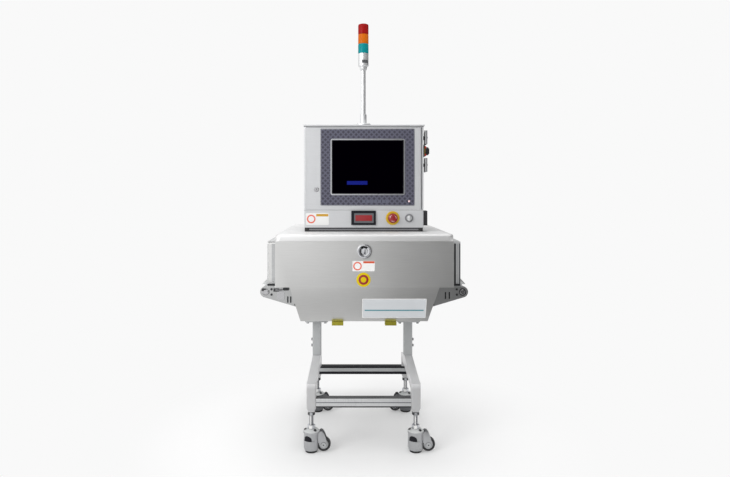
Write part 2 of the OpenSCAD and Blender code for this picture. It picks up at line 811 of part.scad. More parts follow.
module latch_barrel() {
  back_y = -latch_axis_y + door_t + cam_air;
  color("silver") translate([0, 0, latch_z]) {
    bar_y(latch_barrel_d, -latch_axis_y - latch_plate_t, back_y + cam_t);
    translate([-latch_grip_h / 2, -latch_axis_y - latch_proud, -latch_barrel_d / 2])
      cube([latch_grip_h, latch_proud - latch_plate_t / 2, latch_barrel_d]);
    translate([0, back_y, -cam_w / 2]) cube([cam_l, cam_t, cam_w]);
  }
}

hood_x = body_w / 2 + hood_l;
hood_bottom_z = belt_z + hood_sheet;
hood_corner_r = 10;
fin_l = 20;
fin_h = 22;
rod_rise = 6;
rod_inset = 16;
rod_z = mouth_top_z + rod_rise;
rod_x = hood_x - rod_inset;
sleeve_d = 14;

// End view of a hood's outline, drawn in by a margin, with round top corners
module hood_outline(m) {
  translate([0, hood_top_z - m - hood_corner_r])
    for (s = [-1, 1]) translate([s * (hood_d / 2 - m - hood_corner_r), 0]) circle(hood_corner_r);
  translate([-hood_d / 2 + m, hood_bottom_z - m])
    square([hood_d - 2 * m, hood_top_z - hood_bottom_z - hood_corner_r]);
  translate([-hood_d / 2 + m + hood_corner_r, hood_bottom_z - m])
    square([hood_d - 2 * m - 2 * hood_corner_r, hood_top_z - hood_bottom_z]);
}

module tunnel_hood() {
  difference() {
    intersection() {
      along_x(shell_x, hood_x) hood_outline(0);
      along_y(-hood_d, hood_d) {
        translate([0, hood_bottom_z]) square([hood_x - hood_corner_r, hood_top_z - hood_bottom_z]);
        translate([0, hood_bottom_z]) square([hood_x, hood_top_z - hood_bottom_z - hood_corner_r]);
        translate([hood_x - hood_corner_r, hood_top_z - hood_corner_r]) circle(hood_corner_r);
      }
    }
    along_x(shell_x - over, hood_x - hood_sheet) hood_outline(hood_sheet);
    translate([hood_x - 2 * hood_sheet, -mouth_w / 2, hood_bottom_z - over])
      cube([3 * hood_sheet, mouth_w, mouth_top_z - hood_bottom_z + over]);
  }
  translate([rod_x, 0, rod_z]) bar_y(curtain_rod_d, -hood_d / 2 + hood_sheet / 2, hood_d / 2 - hood_sheet / 2);
  for (s = [0, 1]) mirror([0, s, 0])
    along_y(hood_d / 2 - hood_sheet, hood_d / 2) polygon([
      [hood_x - hood_sheet, hood_bottom_z], [hood_x + fin_l, hood_bottom_z],
      [hood_x, hood_bottom_z + fin_h], [hood_x - hood_sheet, hood_bottom_z + fin_h]
    ]);
}

module right_tunnel_hood() { color("gainsboro") tunnel_hood(); }
module left_tunnel_hood() { color("gainsboro") mirror([1, 0, 0]) tunnel_hood(); }

curtain_air = 5;
curtain_foot_air = 6;
strip_pitch = (mouth_w - 2 * curtain_air) / curtain_strips;

module curtain() {
  for (k = [0 : curtain_strips - 1])
    translate([rod_x, (k - (curtain_strips - 1) / 2) * strip_pitch, rod_z]) difference() {
      union() {
        bar_y(sleeve_d, -strip_pitch / 2 + reveal / 2, strip_pitch / 2 - reveal / 2);
        translate([-curtain_t / 2, -strip_pitch / 2 + reveal / 2, belt_z + curtain_foot_air - rod_z])
          cube([curtain_t, strip_pitch - reveal, rod_z - belt_z - curtain_foot_air]);
      }
      bar_y(curtain_rod_d + 2 * run_fit, -strip_pitch, strip_pitch);
    }
}

module outfeed_curtain() { color("darkslategray") curtain(); }
module infeed_curtain() { color("darkslategray") mirror([1, 0, 0]) curtain(); }

roller_z = belt_z - belt_t - seat_gap - roller_d / 2;
plate_r = 23;
plate_rise = 4;
plate_top_z = belt_z + plate_rise;
slot_l = 30;
slot_w = 6;
slot_in = 70;
slot_x = roller_x - slot_in;
slot_pitch = 16;
slot_drop = 15;
slot_z = roller_z - slot_drop;
guide_hole_d = 6.6;
guide_hole_in = 24;
guide_hole_x = roller_x - guide_hole_in;
guide_hole_pitch = 22;
foot_hole_inset = 12;

// Front view of an end plate: round at the roller, sloped below, seated on the body's raked side
module end_plate_outline() {
  corner_x = lower_x(plate_bottom_z) - shell_inset;
  reach = norm([roller_x - corner_x, roller_z - plate_bottom_z]);
  lean = atan2(roller_z - plate_bottom_z, roller_x - corner_x) - asin(plate_r / reach);
  translate([roller_x, roller_z]) circle(plate_r);
  polygon([
    [lower_x(plate_top_z) - shell_inset, plate_top_z - belt_t],
    [roller_x, roller_z + plate_r],
    [roller_x + plate_r * sin(lean), roller_z - plate_r * cos(lean)],
    [corner_x, plate_bottom_z]
  ]);
}

module end_plate() {
  difference() {
    along_y(-plate_y, -plate_y + plate_t) difference() {
      end_plate_outline();
      translate([roller_x, roller_z]) circle(d = shaft_d + 2 * run_fit);
      for (k = [-1, 1])
        translate([guide_hole_x, roller_z + k * guide_hole_pitch / 2]) circle(d = guide_hole_d);
      translate([lower_x(plate_bottom_z) + foot_hole_inset / 2, plate_bottom_z + foot_hole_inset])
        circle(d = guide_hole_d);
      for (k = [0, 1]) translate([slot_x + k * slot_pitch, slot_z]) {
        square([slot_w, slot_l - slot_w], center = true);
        for (s = [-1, 1]) translate([0, s * (slot_l - slot_w) / 2]) circle(d = slot_w);
      }
    }
  }
}

module right_end_plates() {
  color("silver") for (s = [0, 1]) mirror([0, s, 0]) end_plate();
}
module left_end_plates() {
  color("silver") mirror([1, 0, 0]) for (s = [0, 1]) mirror([0, s, 0]) end_plate();
}

bed_top_z = belt_z - belt_t - seat_gap;
bed_t = 5;
bed_in = 30;
bed_half = roller_x - bed_in;
beam_slit = 12;
bed_rail_in = 27;
bed_rail_x = door_bottom_w / 2 - bed_rail_in;
bed_rail_out = 8;
bed_rail_y = belt_w / 2 + bed_rail_out;
return_d = 30;
return_x = 150;
return_journal_d = 12;
return_z = belt_bottom_z - seat_gap - return_d / 2;

module slider_bed() {
  color("silver") difference() {
    union() {
      translate([-bed_half, -plate_y + plate_t, bed_top_z - bed_t])
        cube([2 * bed_half, 2 * (plate_y - plate_t), bed_t]);
      for (s = [0, 1]) mirror([0, s, 0])
        translate([-bed_rail_x, bed_rail_y, return_z - return_journal_d])
          cube([2 * bed_rail_x, chamber_wall, bed_top_z - bed_t - return_z + return_journal_d]);
    }
    translate([-beam_slit / 2, -belt_w / 2, bed_top_z - bed_t - over])
      cube([beam_slit, belt_w, bed_t + 2 * over]);
    translate([-return_x, 0, return_z]) bar_y(return_journal_d + 2 * run_fit, -plate_y, plate_y);
  }
}

// The belt's loop in front view, outside the rollers by a margin
module belt_loop(m) {
  square([2 * roller_x, roller_d + 2 * m], center = true);
  for (s = [-1, 1]) translate([s * roller_x, 0]) circle(d = roller_d + 2 * m);
}

module conveyor_belt() {
  color("whitesmoke") translate([0, 0, roller_z]) along_y(-belt_w / 2, belt_w / 2) difference() {
    belt_loop(seat_gap + belt_t);
    belt_loop(seat_gap);
  }
}

module roller_shafts() {
  color("lightgray")
    for (s = [-1, 1]) translate([s * roller_x, 0, roller_z])
      bar_y(shaft_d, -plate_y - belt_t, plate_y + belt_t);
}

end_cap_t = 10;
roller_wall = 3;

// A hollow roller with two end caps that run on a fixed shaft
module roller(d, l) {
  rotate([90, 0, 0]) rotate_extrude() {
    translate([d / 2 - roller_wall, -l / 2]) square([roller_wall, l]);
    for (s = [-1, 1])
      translate([shaft_d / 2 + run_fit, s * (l - end_cap_t) / 2 - end_cap_t / 2])
        square([d / 2 - shaft_d / 2 - run_fit, end_cap_t]);
  }
}

module drum_motor() {
  color("silver") translate([roller_x, 0, roller_z]) roller(roller_d, belt_w + end_cap_t);
}
module tail_roller() {
  color("silver") translate([-roller_x, 0, roller_z]) roller(roller_d, belt_w + end_cap_t);
}

module return_roller() {
  color("silver") translate([-return_x, 0, return_z]) {
    bar_y(return_d, -belt_w / 2, belt_w / 2);
    bar_y(return_journal_d, -bed_rail_y - chamber_wall, bed_rail_y + chamber_wall);
  }
}

tank_w = 150;
tank_d = 190;
tank_h = 270;
tank_neck_d = 60;
floor_z = cab_bottom_z + cab_sheet;
nozzle_top_w = 80;
nozzle_low_w = 124;
nozzle_wall = 4;
nozzle_half = 20;
nozzle_rise = 10;
nozzle_low_z = mouth_top_z + nozzle_rise;

module xray_source() {
  color("slategray") {
    translate([0, 0, floor_z]) post_block(tank_w, tank_d, tank_h, cover_corner_r);
    translate([0, 0, floor_z + tank_h]) cylinder(h = tank_neck_d / 2, d = tank_neck_d);
  }
}

module beam_collimator() {
  color("darkgray") difference() {
    along_x(-nozzle_half, nozzle_half) polygon([
      [-nozzle_top_w / 2, floor_z], [nozzle_top_w / 2, floor_z],
      [nozzle_low_w / 2, nozzle_low_z], [-nozzle_low_w / 2, nozzle_low_z]
    ]);
    along_x(-beam_slit / 2, beam_slit / 2) polygon([
      [-nozzle_top_w / 2 + nozzle_wall, floor_z + over], [nozzle_top_w / 2 - nozzle_wall, floor_z + over],
      [nozzle_low_w / 2 - nozzle_wall, nozzle_low_z - over],
      [-nozzle_low_w / 2 + nozzle_wall, nozzle_low_z - over]
    ]);
  }
}

detector_w = 56;
detector_air = 4;
detector_h = bed_top_z - bed_t - belt_bottom_z - belt_t - detector_air;

module line_detector() {
  color("steelblue") translate([-detector_w / 2, -bed_rail_y, bed_top_z - bed_t - detector_h])
    cube([detector_w, 2 * bed_rail_y, detector_h]);
}

power_w = 300;
power_d = 150;
power_h = 95;

module power_unit() {
  color("dimgray") translate([0, 0, belly_z + chamber_wall])
    post_block(power_w, power_d, power_h, leg_corner_r);
}

computer_gap = 37;
computer_d = 230;
computer_h = 240;
computer_air = 6;
computer_w = cab_w / 2 - cab_sheet - computer_air - computer_gap - tank_w / 2;

module control_computer() {
  color("dimgray")
    translate([cab_w / 2 - cab_sheet - computer_w - computer_air,
               -cab_front_y + cab_d - cab_sheet - computer_d, floor_z])
      cube([computer_w, computer_d, computer_h]);
}

cab_corner_r = 5;
jamb_gap = 2.5;
mon_y = -cab_front_y + mon_t / 2;
mon_pin_x = mon_w / 2 - mon_t / 2;
mon_pin_d = 5;
mon_pin_l = 10;
mon_pin_root = 2;
mon_top_z = mon_bottom_z + mon_h;
stop_stem_d = 22;
key_barrel_d = 22;
inlet_d = 25;
inlet_in = 71;
inlet_x = cab_w / 2 - inlet_in;
inlet_rise = 46;
inlet_z = cab_bottom_z + inlet_rise;
plinth_in = 3;

module display_cabinet() {
  color("gainsboro") {
    difference() {
      translate([0, -cab_front_y + cab_d / 2, cab_bottom_z]) post_block(cab_w, cab_d, cab_h, cab_corner_r);
      translate([0, -cab_front_y + cab_d / 2, floor_z])
        post_block(cab_w - 2 * cab_sheet, cab_d - 2 * cab_sheet, cab_h, cab_corner_r - cab_sheet);
      translate([-mon_w / 2 - reveal, -cab_front_y - over, mon_bottom_z - reveal])
        cube([mon_w + reveal + jamb_gap, cab_sheet + 2 * over, mon_h + 2 * reveal]);
      translate([-beam_slot_x, -beam_slot_y, cab_bottom_z - over])
        cube([2 * beam_slot_x, 2 * beam_slot_y, cab_sheet + 2 * over]);
      translate([stop_x, 0, control_z])
        bar_y(stop_stem_d + 2 * run_fit, -cab_front_y - over, -cab_front_y + cab_sheet + over);
      translate([key_x, 0, control_z])
        bar_y(key_barrel_d + 2 * run_fit, -cab_front_y - over, -cab_front_y + cab_sheet + over);
      translate([inlet_x, 0, inlet_z])
        bar_y(inlet_d, -cab_front_y + cab_d - cab_sheet - over, -cab_front_y + cab_d + over);
    }
    translate([mon_pin_x, mon_y, 0]) {
      translate([0, 0, mon_bottom_z - mon_pin_root]) cylinder(h = mon_pin_l, d = mon_pin_d);
      translate([0, 0, mon_top_z + mon_pin_root - mon_pin_l]) cylinder(h = mon_pin_l, d = mon_pin_d);
      for (z = [mon_bottom_z - reveal - cab_sheet, mon_top_z + reveal])
        translate([-mon_t / 2, -mon_t / 2, z]) cube([mon_t, mon_t, cab_sheet]);
    }
  }
}

module cabinet_lid() {
  color("whitesmoke") difference() {
    translate([0, -cab_front_y + cab_d / 2, cab_top_z])
      post_block(cab_w + 2 * lid_lip, cab_d + 2 * lid_lip, lid_t, cab_corner_r);
    translate([0, -tower_y, cab_top_z - over]) cylinder(h = lid_t + 2 * over, d = pole_d - 2 * lid_lip);
  }
}

module cabinet_plinth() {
  color("dimgray") translate([0, -cab_front_y + cab_d / 2, body_top_z + cover_rise]) difference() {
    post_block(cab_w - 2 * plinth_in, cab_d - 2 * plinth_in, cab_bottom_z - body_top_z - cover_rise, cab_corner_r);
    translate([0, 0, -over])
      post_block(cab_w - 2 * plinth_in - 2 * rim, cab_d - 2 * plinth_in - 2 * rim,
                 cab_bottom_z - body_top_z - cover_rise + 2 * over, cab_corner_r);
  }
}

lock_in = 43;
lock_x = lock_in - mon_w / 2;
lock_rise = 84;
lock_z = mon_bottom_z + lock_rise;
lock_d = 20;
lock_proud = 3;
tongue_l = 46;
tongue_w = 12;
tongue_t = 3;
mon_face_t = 3;
panel_t = 1.5;
lcd_edge_w = 13.5;
lcd_edge_h = 11.5;
lcd_w = screen_w + 2 * lcd_edge_w;
lcd_h = screen_h + 2 * lcd_edge_h;
lcd_t = 33;

module monitor_door() {
  color("gainsboro") difference() {
    union() {
      translate([-mon_w / 2, -cab_front_y, mon_bottom_z]) cube([mon_w - mon_t / 2, mon_t, mon_h]);
      translate([mon_pin_x, mon_y, mon_bottom_z]) cylinder(h = mon_h, d = mon_t);
    }
    translate([-mon_w / 2 + mon_face_t, -cab_front_y + mon_face_t, mon_bottom_z + mon_face_t])
      cube([mon_w - mon_t - 2 * mon_face_t, mon_t, mon_h - 2 * mon_face_t]);
    translate([screen_x - lcd_w / 2, -cab_front_y - over, screen_z - lcd_h / 2])
      cube([lcd_w, mon_t + 2 * over, lcd_h]);
    for (z = [mon_bottom_z - over, mon_top_z + over - mon_pin_l])
      translate([mon_pin_x, mon_y, z]) cylinder(h = mon_pin_l, d = mon_pin_d + 2 * run_fit);
    translate([lock_x, 0, lock_z]) bar_y(lock_d + 2 * run_fit, -cab_front_y - over, -cab_front_y + mon_t);
  }
}

module membrane_panel() {
  color("darkslateblue") along_y(-cab_front_y - panel_t, -cab_front_y) difference() {
    translate([panel_x, panel_z]) round_rect(panel_w, panel_h, cab_corner_r);
    translate([screen_x, screen_z]) square([screen_w, screen_h], center = true);
  }
}

module screen() {
  color("black") {
    translate([screen_x - lcd_w / 2 + seat_gap, -cab_front_y, screen_z - lcd_h / 2 + seat_gap])
      cube([lcd_w - 2 * seat_gap, lcd_t + mon_t, lcd_h - 2 * seat_gap]);
  }
}

module cam_lock() {
  color("silver") translate([lock_x, 0, lock_z]) {
    bar_y(lock_d, -cab_front_y - lock_proud, -cab_front_y + mon_t + tongue_t + seat_gap);
    translate([-tongue_w / 2, -cab_front_y + mon_t + seat_gap, -tongue_l])
      cube([tongue_w, tongue_t, tongue_l]);
  }
}

lamp_t = 6;
lamp_rim = 4;

module warning_lamp() {
  color("firebrick") {
    along_y(-cab_front_y - lamp_t / 2, -cab_front_y)
      translate([0, control_z]) round_rect(lamp_w, lamp_h, cab_corner_r);
    along_y(-cab_front_y - lamp_t, -cab_front_y - lamp_t / 2)
      translate([0, control_z])
          round_rect(lamp_w - 2 * lamp_rim, lamp_h - 2 * lamp_rim, cab_corner_r - lamp_rim / 2);
  }
}

stop_ring_t = 5;
stop_head_t = 14;
stop_body_l = 45;
key_ring_t = 6;
bow_w = 22;
bow_t = 4;
bow_l = 16;

module stop_ring() {
  color("gold") translate([stop_x, 0, control_z]) difference() {
    bar_y(stop_ring_d, -cab_front_y - stop_ring_t, -cab_front_y);
    bar_y(stop_stem_d + 2 * run_fit, -cab_front_y - 2 * stop_ring_t, -cab_front_y + over);
  }
}

module stop_button() {
  head_y = -cab_front_y - stop_ring_t - stop_travel - reveal;
  color("red") translate([stop_x, 0, control_z]) {
    bar_y(stop_stem_d, head_y, -cab_front_y + stop_body_l);
    translate([0, head_y, 0]) rotate([90, 0, 0]) rotate_extrude() intersection() {
      translate([0, -stop_d + stop_head_t]) circle(stop_d);
      square([stop_d / 2, stop_head_t]);
    }
  }
}

module key_collar() {
  color("silver") translate([key_x, 0, control_z]) difference() {
    bar_y(key_ring_d, -cab_front_y - key_ring_t, -cab_front_y);
    bar_y(key_barrel_d + 2 * run_fit, -cab_front_y - 2 * key_ring_t, -cab_front_y + over);
  }
}

module key_switch() {
  color("dimgray") translate([key_x, 0, control_z]) {
    bar_y(key_barrel_d, -cab_front_y - key_ring_t, -cab_front_y + stop_body_l);
    translate([-bow_t / 2, -cab_front_y - key_ring_t - bow_l, -bow_w / 2]) cube([bow_t, bow_l, bow_w]);
  }
}

base_side = 50;
base_t = 8;
side_in = 50;
base_y = side_in - cab_front_y;
side_plate_t = 3;
upper_plate_drop = 46;
upper_plate_z = cab_top_z - upper_plate_drop;
side_plate_h = 58;
side_plate_out = 16;
lower_plate_drop = 162;
lower_plate_z = cab_top_z - lower_plate_drop;
side_plate_d = 90;
port_rise = 39;
port_z = cab_bottom_z + port_rise;
port_h = 62;
port_out = 18;
port_d = 70;
spacer_d = 12;
gland_l = 18;

module side_fittings() {
  color("dimgray") {
    translate([cab_w / 2, base_y - base_side / 2, switch_z - base_side / 2]) difference() {
      cube([base_t, base_side, base_side]);
      translate([-over, base_side / 2, base_side / 2]) rotate([0, 90, 0])
        cylinder(h = base_t + 2 * over, d = spacer_d + 2 * run_fit);
    }
    for (z = [upper_plate_z, lower_plate_z]) {
      translate([cab_w / 2 + side_plate_out - side_plate_t, base_y - side_plate_d / 2, z - side_plate_h / 2])
        cube([side_plate_t, side_plate_d, side_plate_h]);
      for (s = [-1, 1])
        translate([0, base_y + s * side_plate_d / 3, z])
          bar_x(spacer_d, cab_w / 2, cab_w / 2 + side_plate_out - side_plate_t);
    }
    translate([cab_w / 2, base_y - port_d / 2, port_z - port_h / 2]) cube([port_out, port_d, port_h]);
    translate([inlet_x, 0, inlet_z])
      bar_y(inlet_d, -cab_front_y + cab_d - cab_sheet, -cab_front_y + cab_d + gland_l);
  }
}

switch_grip = 18;
switch_d = 34;

module main_switch() {
  color("red") translate([0, base_y, switch_z]) {
    bar_x(spacer_d, cab_w / 2 + run_fit, cab_w / 2 + base_t + switch_grip / 2);
    bar_x(switch_d, cab_w / 2 + base_t + seat_gap, cab_w / 2 + base_t + switch_grip / 2);
    translate([cab_w / 2 + base_t + switch_grip / 2, -base_t / 2, -switch_d / 2])
      cube([switch_grip / 2, base_t, switch_d]);
  }
}

flange_d = 64;
tower_flange_t = 14;
tower_sleeve_d = 28;
tower_sleeve_h = 56;
collar_h = 15;
dome_h = 4;
screw_d = 5;

module signal_tower() {
  color("silver") translate([0, -tower_y, cab_top_z + lid_t]) {
    cylinder(h = tower_flange_t, d = flange_d);
    cylinder(h = tower_sleeve_h, d = tower_sleeve_d);
    cylinder(h = pole_h, d = pole_d);
    for (s = [-1, 1]) translate([s * (flange_d - tower_sleeve_d) / 2 + s * screw_d, 0, tower_flange_t])
      cylinder(h = screw_d / 2, d = 2 * screw_d);
    translate([0, 0, pole_h]) {
      cylinder(h = collar_h, d1 = pole_d, d2 = lens_d);
      translate([0, 0, collar_h]) cylinder(h = tower_base_h + 3 * lens_h, d = lens_d);
      translate([0, 0, collar_h + tower_base_h + 3 * lens_h]) cylinder(h = dome_h, d1 = lens_d, d2 = pole_d);
    }
  }
}

left_side_frame();
right_side_frame();
crossbars();
post_sleeves();
stand_bolts();
caster_stems();
front_left_caster();
front_right_caster();
rear_left_caster();
rear_right_caster();
front_left_wheel();
front_right_wheel();
rear_left_wheel();
rear_right_wheel();
front_left_foot();
front_right_foot();
rear_left_foot();
rear_right_foot();
chamber_shell();
top_cover();
rear_cover();
rear_fan_grille();
hinge_lugs();
front_door();
door_liner();
hinge_blocks();
latch_plate();
latch_barrel();
left_tunnel_hood();
right_tunnel_hood();
infeed_curtain();
outfeed_curtain();
left_end_plates();
right_end_plates();
slider_bed();
conveyor_belt();
roller_shafts();
drum_motor();
tail_roller();
return_roller();
xray_source();
beam_collimator();
line_detector();
power_unit();
control_computer();
display_cabinet();
cabinet_lid();
cabinet_plinth();
monitor_door();
membrane_panel();
screen();
cam_lock();
warning_lamp();
stop_ring();
stop_button();
key_collar();
key_switch();
side_fittings();
main_switch();
signal_tower();
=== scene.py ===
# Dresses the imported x-ray inspection machine: finishes, trims and small hardware, then camera and light.
# Metres throughout. X runs along the conveyor, -Y is the operator's side, Z is up.
import json
import math

import bmesh
import bpy
from mathutils import Matrix, Vector


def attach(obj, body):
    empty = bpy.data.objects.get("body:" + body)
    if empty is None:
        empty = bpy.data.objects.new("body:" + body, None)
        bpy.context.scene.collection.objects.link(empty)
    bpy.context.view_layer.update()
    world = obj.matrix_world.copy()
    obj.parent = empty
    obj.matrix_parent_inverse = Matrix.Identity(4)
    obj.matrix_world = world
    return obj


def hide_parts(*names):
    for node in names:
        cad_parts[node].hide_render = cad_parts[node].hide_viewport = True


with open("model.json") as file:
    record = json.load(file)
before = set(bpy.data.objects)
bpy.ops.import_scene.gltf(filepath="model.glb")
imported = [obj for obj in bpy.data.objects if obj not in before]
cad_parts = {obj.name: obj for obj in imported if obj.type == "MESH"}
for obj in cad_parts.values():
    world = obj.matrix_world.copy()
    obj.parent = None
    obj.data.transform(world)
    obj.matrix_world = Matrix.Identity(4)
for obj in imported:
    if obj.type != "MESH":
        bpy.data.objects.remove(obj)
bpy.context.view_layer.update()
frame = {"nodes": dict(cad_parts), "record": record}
nodes = frame["nodes"]
slotOf = {s["node"]: s["material_slot"] for s in frame["record"]["subparts"]}
bodyOf = {n: b for b, members in frame["record"]["behaviour"]["bodies"].items() for n in members}
print("frame loaded:", len(nodes), "nodes")

mm = 0.001
corners = ["front_left", "front_right", "rear_left", "rear_right"]
sides = [(sx, sy) for sx in (-1, 1) for sy in (-1, 1)]
even, unturned = (1, 1, 1), (0, 0, 0)
finish = {}


# finishes

def linear(r, g, b):
    # screen colour 0..255 to the scene's linear colour
    def one(c):
        c = c / 255
        return c / 12.92 if c <= 0.04045 else ((c + 0.055) / 1.055) ** 2.4
    return (one(r), one(g), one(b), 1.0)


def grow(tree, kind, feeds=(), **settings):
    # a node with its properties, each input fed from a socket or with a constant
    node = tree.nodes.new(kind)
    for key, value in settings.items():
        setattr(node, key, value)
    for key, value in dict(feeds).items():
        if isinstance(value, bpy.types.NodeSocket):
            tree.links.new(value, node.inputs[key])
        else:
            node.inputs[key].default_value = value
    return node


def maths(tree, operation, *values):
    return grow(tree, "ShaderNodeMath", enumerate(values), operation=operation).outputs[0]


def ownPlace(tree):
    return grow(tree, "ShaderNodeTexCoord").outputs["Object"]


def axes(tree, vector):
    return grow(tree, "ShaderNodeSeparateXYZ", {0: vector}).outputs


def stretchedNoise(tree, stretch, scale, detail):
    turn = grow(tree, "ShaderNodeMapping", {"Scale": stretch, "Vector": ownPlace(tree)})
    return grow(tree, "ShaderNodeTexNoise", {"Scale": scale, "Detail": detail,
                                             "Vector": turn.outputs["Vector"]}).outputs["Fac"]


def spread(tree, source, low, high, fromLow=0.3, fromHigh=0.7, **settings):
    return grow(tree, "ShaderNodeMapRange", {"From Min": fromLow, "From Max": fromHigh, "To Min": low,
                                             "To Max": high, "Value": source}, **settings).outputs["Result"]


def tone(tree, factor, a, b):
    return grow(tree, "ShaderNodeMix", {"A": a, "B": b, "Factor": factor}, data_type="RGBA").outputs["Result"]


def addBump(tree, shader, height, strength, distance):
    bump = grow(tree, "ShaderNodeBump", {"Strength": strength, "Distance": distance, "Height": height})
    tree.links.new(bump.outputs["Normal"], shader.inputs["Normal"])


def shade(colour, factor):
    return tuple(min(1.0, c * factor) for c in colour[:3]) + (1.0,)


def startMaterial(name, colour, metallic, roughness, coat=0.0, specular=0.5):
    m = finish[name] = bpy.data.materials.new(name)
    m.use_nodes = True
    shader = m.node_tree.nodes["Principled BSDF"]
    for key, value in (("Base Color", linear(*colour)), ("Metallic", metallic), ("Roughness", roughness),
                       ("Coat Weight", coat), ("Specular IOR Level", specular)):
        shader.inputs[key].default_value = value
    return m.node_tree, shader


def dapple(tree, shader, source, colour, contrast, smooth, rough):
    # tone and roughness that wander with the source
    base = linear(*colour)
    tree.links.new(tone(tree, spread(tree, source, 0, 1), shade(base, 1 - contrast),
                        shade(base, 1 + contrast)), shader.inputs["Base Color"])
    tree.links.new(spread(tree, source, smooth, rough), shader.inputs["Roughness"])


sheetWear = {"fine": 6.0, "fineShare": 0.65, "slow": 2.4, "slowShare": 0.35, "less": 0.05, "more": 0.06,
             "deep": 0.0004}
coatWear = {"slow": 7.0, "swing": 0.05, "deep": 0.0003}


def sheetMetal(name, colour, grain=(3, 3, 260), roughness=0.36, contrast=0.06, metallic=1.0, bump=0.12):
    # brushed sheet: a fine grain along one way, slow clouding, a little more wear in places
    w = sheetWear
    tree, shader = startMaterial(name, colour, metallic, roughness)
    fine = stretchedNoise(tree, grain, w["fine"], 6.0)
    slow = maths(tree, "MULTIPLY", stretchedNoise(tree, even, w["slow"], 3.0), w["slowShare"])
    dapple(tree, shader, maths(tree, "MULTIPLY_ADD", fine, w["fineShare"], slow), colour, contrast,
           roughness - w["less"], roughness + w["more"])
    addBump(tree, shader, fine, bump, w["deep"])


def coated(name, colour, roughness=0.45, grain=420.0, contrast=0.05, bump=0.08, metallic=0.0, coat=0.0,
           specular=0.5):
    # painted, cast or moulded surface with a fine skin
    w = coatWear
    tree, shader = startMaterial(name, colour, metallic, roughness, coat, specular)
    dapple(tree, shader, stretchedNoise(tree, even, w["slow"], 3.0), colour, contrast,
           roughness - w["swing"], roughness + w["swing"])
    addBump(tree, shader, stretchedNoise(tree, even, grain, 3.0), bump, w["deep"])


# painted light and shade: a base colour that changes with the object's place along one axis
def paintedLightByPlace(name, axis, low, high, colour, other):
    tree = finish[name].node_tree
    factor = spread(tree, axes(tree, ownPlace(tree))[axis], 0, 1, low, high)
    tree.links.new(tone(tree, factor, linear(*colour), linear(*other)),
                   tree.nodes["Principled BSDF"].inputs["Base Color"])


# the slots' finishes, then those of trims
coated("stand_steel", (200, 202, 202), 0.38, 500, 0.03, metallic=0.3)
sheetMetal("bright_steel", (206, 207, 208), (260, 3, 3), 0.3, metallic=0.55)
coated("sleeve_steel", (166, 168, 169), 0.42, 500, 0.05)
sheetMetal("bolt_steel", (192, 192, 194), (40, 40, 40), 0.24, 0.1)
sheetMetal("brushed_sheet", (223, 223, 222), (3, 3, 260), 0.4)
sheetMetal("cover_sheet", (226, 226, 226), (40, 40, 40), 0.6, 0.02, 0.35, 0.03)
sheetMetal("cabinet_sheet", (198, 199, 201), (3, 3, 260), 0.45, metallic=0.4)
coated("dark_plastic", (48, 49, 52), 0.55, 700)
sheetMetal("yellow_zinc", (186, 178, 70), (60, 60, 60), 0.4, 0.2)
coated("lead_sheet", (112, 116, 122), 0.6, 300, 0.1, metallic=0.6)
sheetMetal("chrome", (214, 215, 218), (30, 30, 30), 0.12, 0.03, bump=0.02)
coated("lead_rubber", (52, 55, 58), 0.62, 300, 0.12)
sheetMetal("plate_steel", (194, 195, 195), (200, 3, 3), 0.38)
coated("belt_white", (226, 230, 229), 0.5, 900, 0.03, 0.15)
coated("cast_tank", (160, 163, 168), 0.5, 260, 0.08, 0.2, 0.7)
coated("anodised", (112, 126, 146), 0.38, 600, 0.06, metallic=0.8)
coated("dark_metal", (44, 44, 47), 0.42, 500, 0.08)
coated("panel_film", (64, 68, 82), 0.4, 900, 0.05)
coated("screen_glass", (1, 0, 3), 0.3, 20, 0.05, 0.0, specular=0.0)
coated("lamp_red", (140, 26, 32), 0.35, 300, 0.06, coat=0.1)
coated("stop_yellow", (196, 158, 18), 0.38, 500, 0.05)
coated("stop_red", (136, 18, 28), 0.3, 500, 0.05, coat=0.3)
coated("switch_red", (190, 32, 36), 0.36, 500, 0.05)
coated("tower_parts", (226, 227, 228), 0.4, 600, 0.02, 0.0, metallic=0.75)
coated("caster_zinc", (158, 159, 161), 0.3, 320, 0.06, 0.15, 0.75)
coated("wheel_rubber", (38, 38, 40), 0.5, 500, 0.1)
coated("foot_rubber", (34, 34, 35), 0.65, 500, 0.1)
coated("enamel_white", (220, 220, 219), 0.35, 600, 0.02)
coated("teal_ink", (60, 128, 138), 0.4, 600, 0.03)
coated("amber_ink", (186, 142, 38), 0.4, 600, 0.03)
coated("plate_pale_grey", (189, 192, 195), 0.32, 600, 0.02)
coated("sign_yellow", (200, 176, 2), 0.4, 600, 0.03, specular=0.2)
coated("rust_ink", (196, 72, 34), 0.4, 600, 0.03)
coated("sign_red", (214, 104, 84), 0.4, 600, 0.03)
coated("dark_ink", (34, 34, 38), 0.4, 600, 0.03)
coated("screen_blue", (16, 26, 112), 0.3, 600, 0.03, specular=0.05)
coated("led_lens", (238, 206, 208), 0.2, 600, 0.02)
coated("lens_red", (142, 8, 8), 0.4, 300, 0.08, 0.0, specular=0.15)
coated("lens_amber", (196, 98, 2), 0.4, 300, 0.08, 0.0, specular=0.15)
coated("lens_teal", (0, 134, 140), 0.4, 300, 0.08, 0.0, specular=0.15)
coated("plinth_strip", (116, 117, 120), 0.45, 500, 0.04)
coated("lamp_frame", (24, 24, 30), 0.6, 600, 0.05, specular=0.2)
coated("grey_ink", (92, 94, 98), 0.5, 600, 0.04)
coated("seam_grey", (172, 173, 174), 0.5, 600, 0.04)
coated("edge_grey", (196, 197, 197), 0.5, 600, 0.04)
sheetMetal("lip_sheet", (228, 228, 228), (3, 3, 120), 0.54, 0.02, 0.86, 0.03)
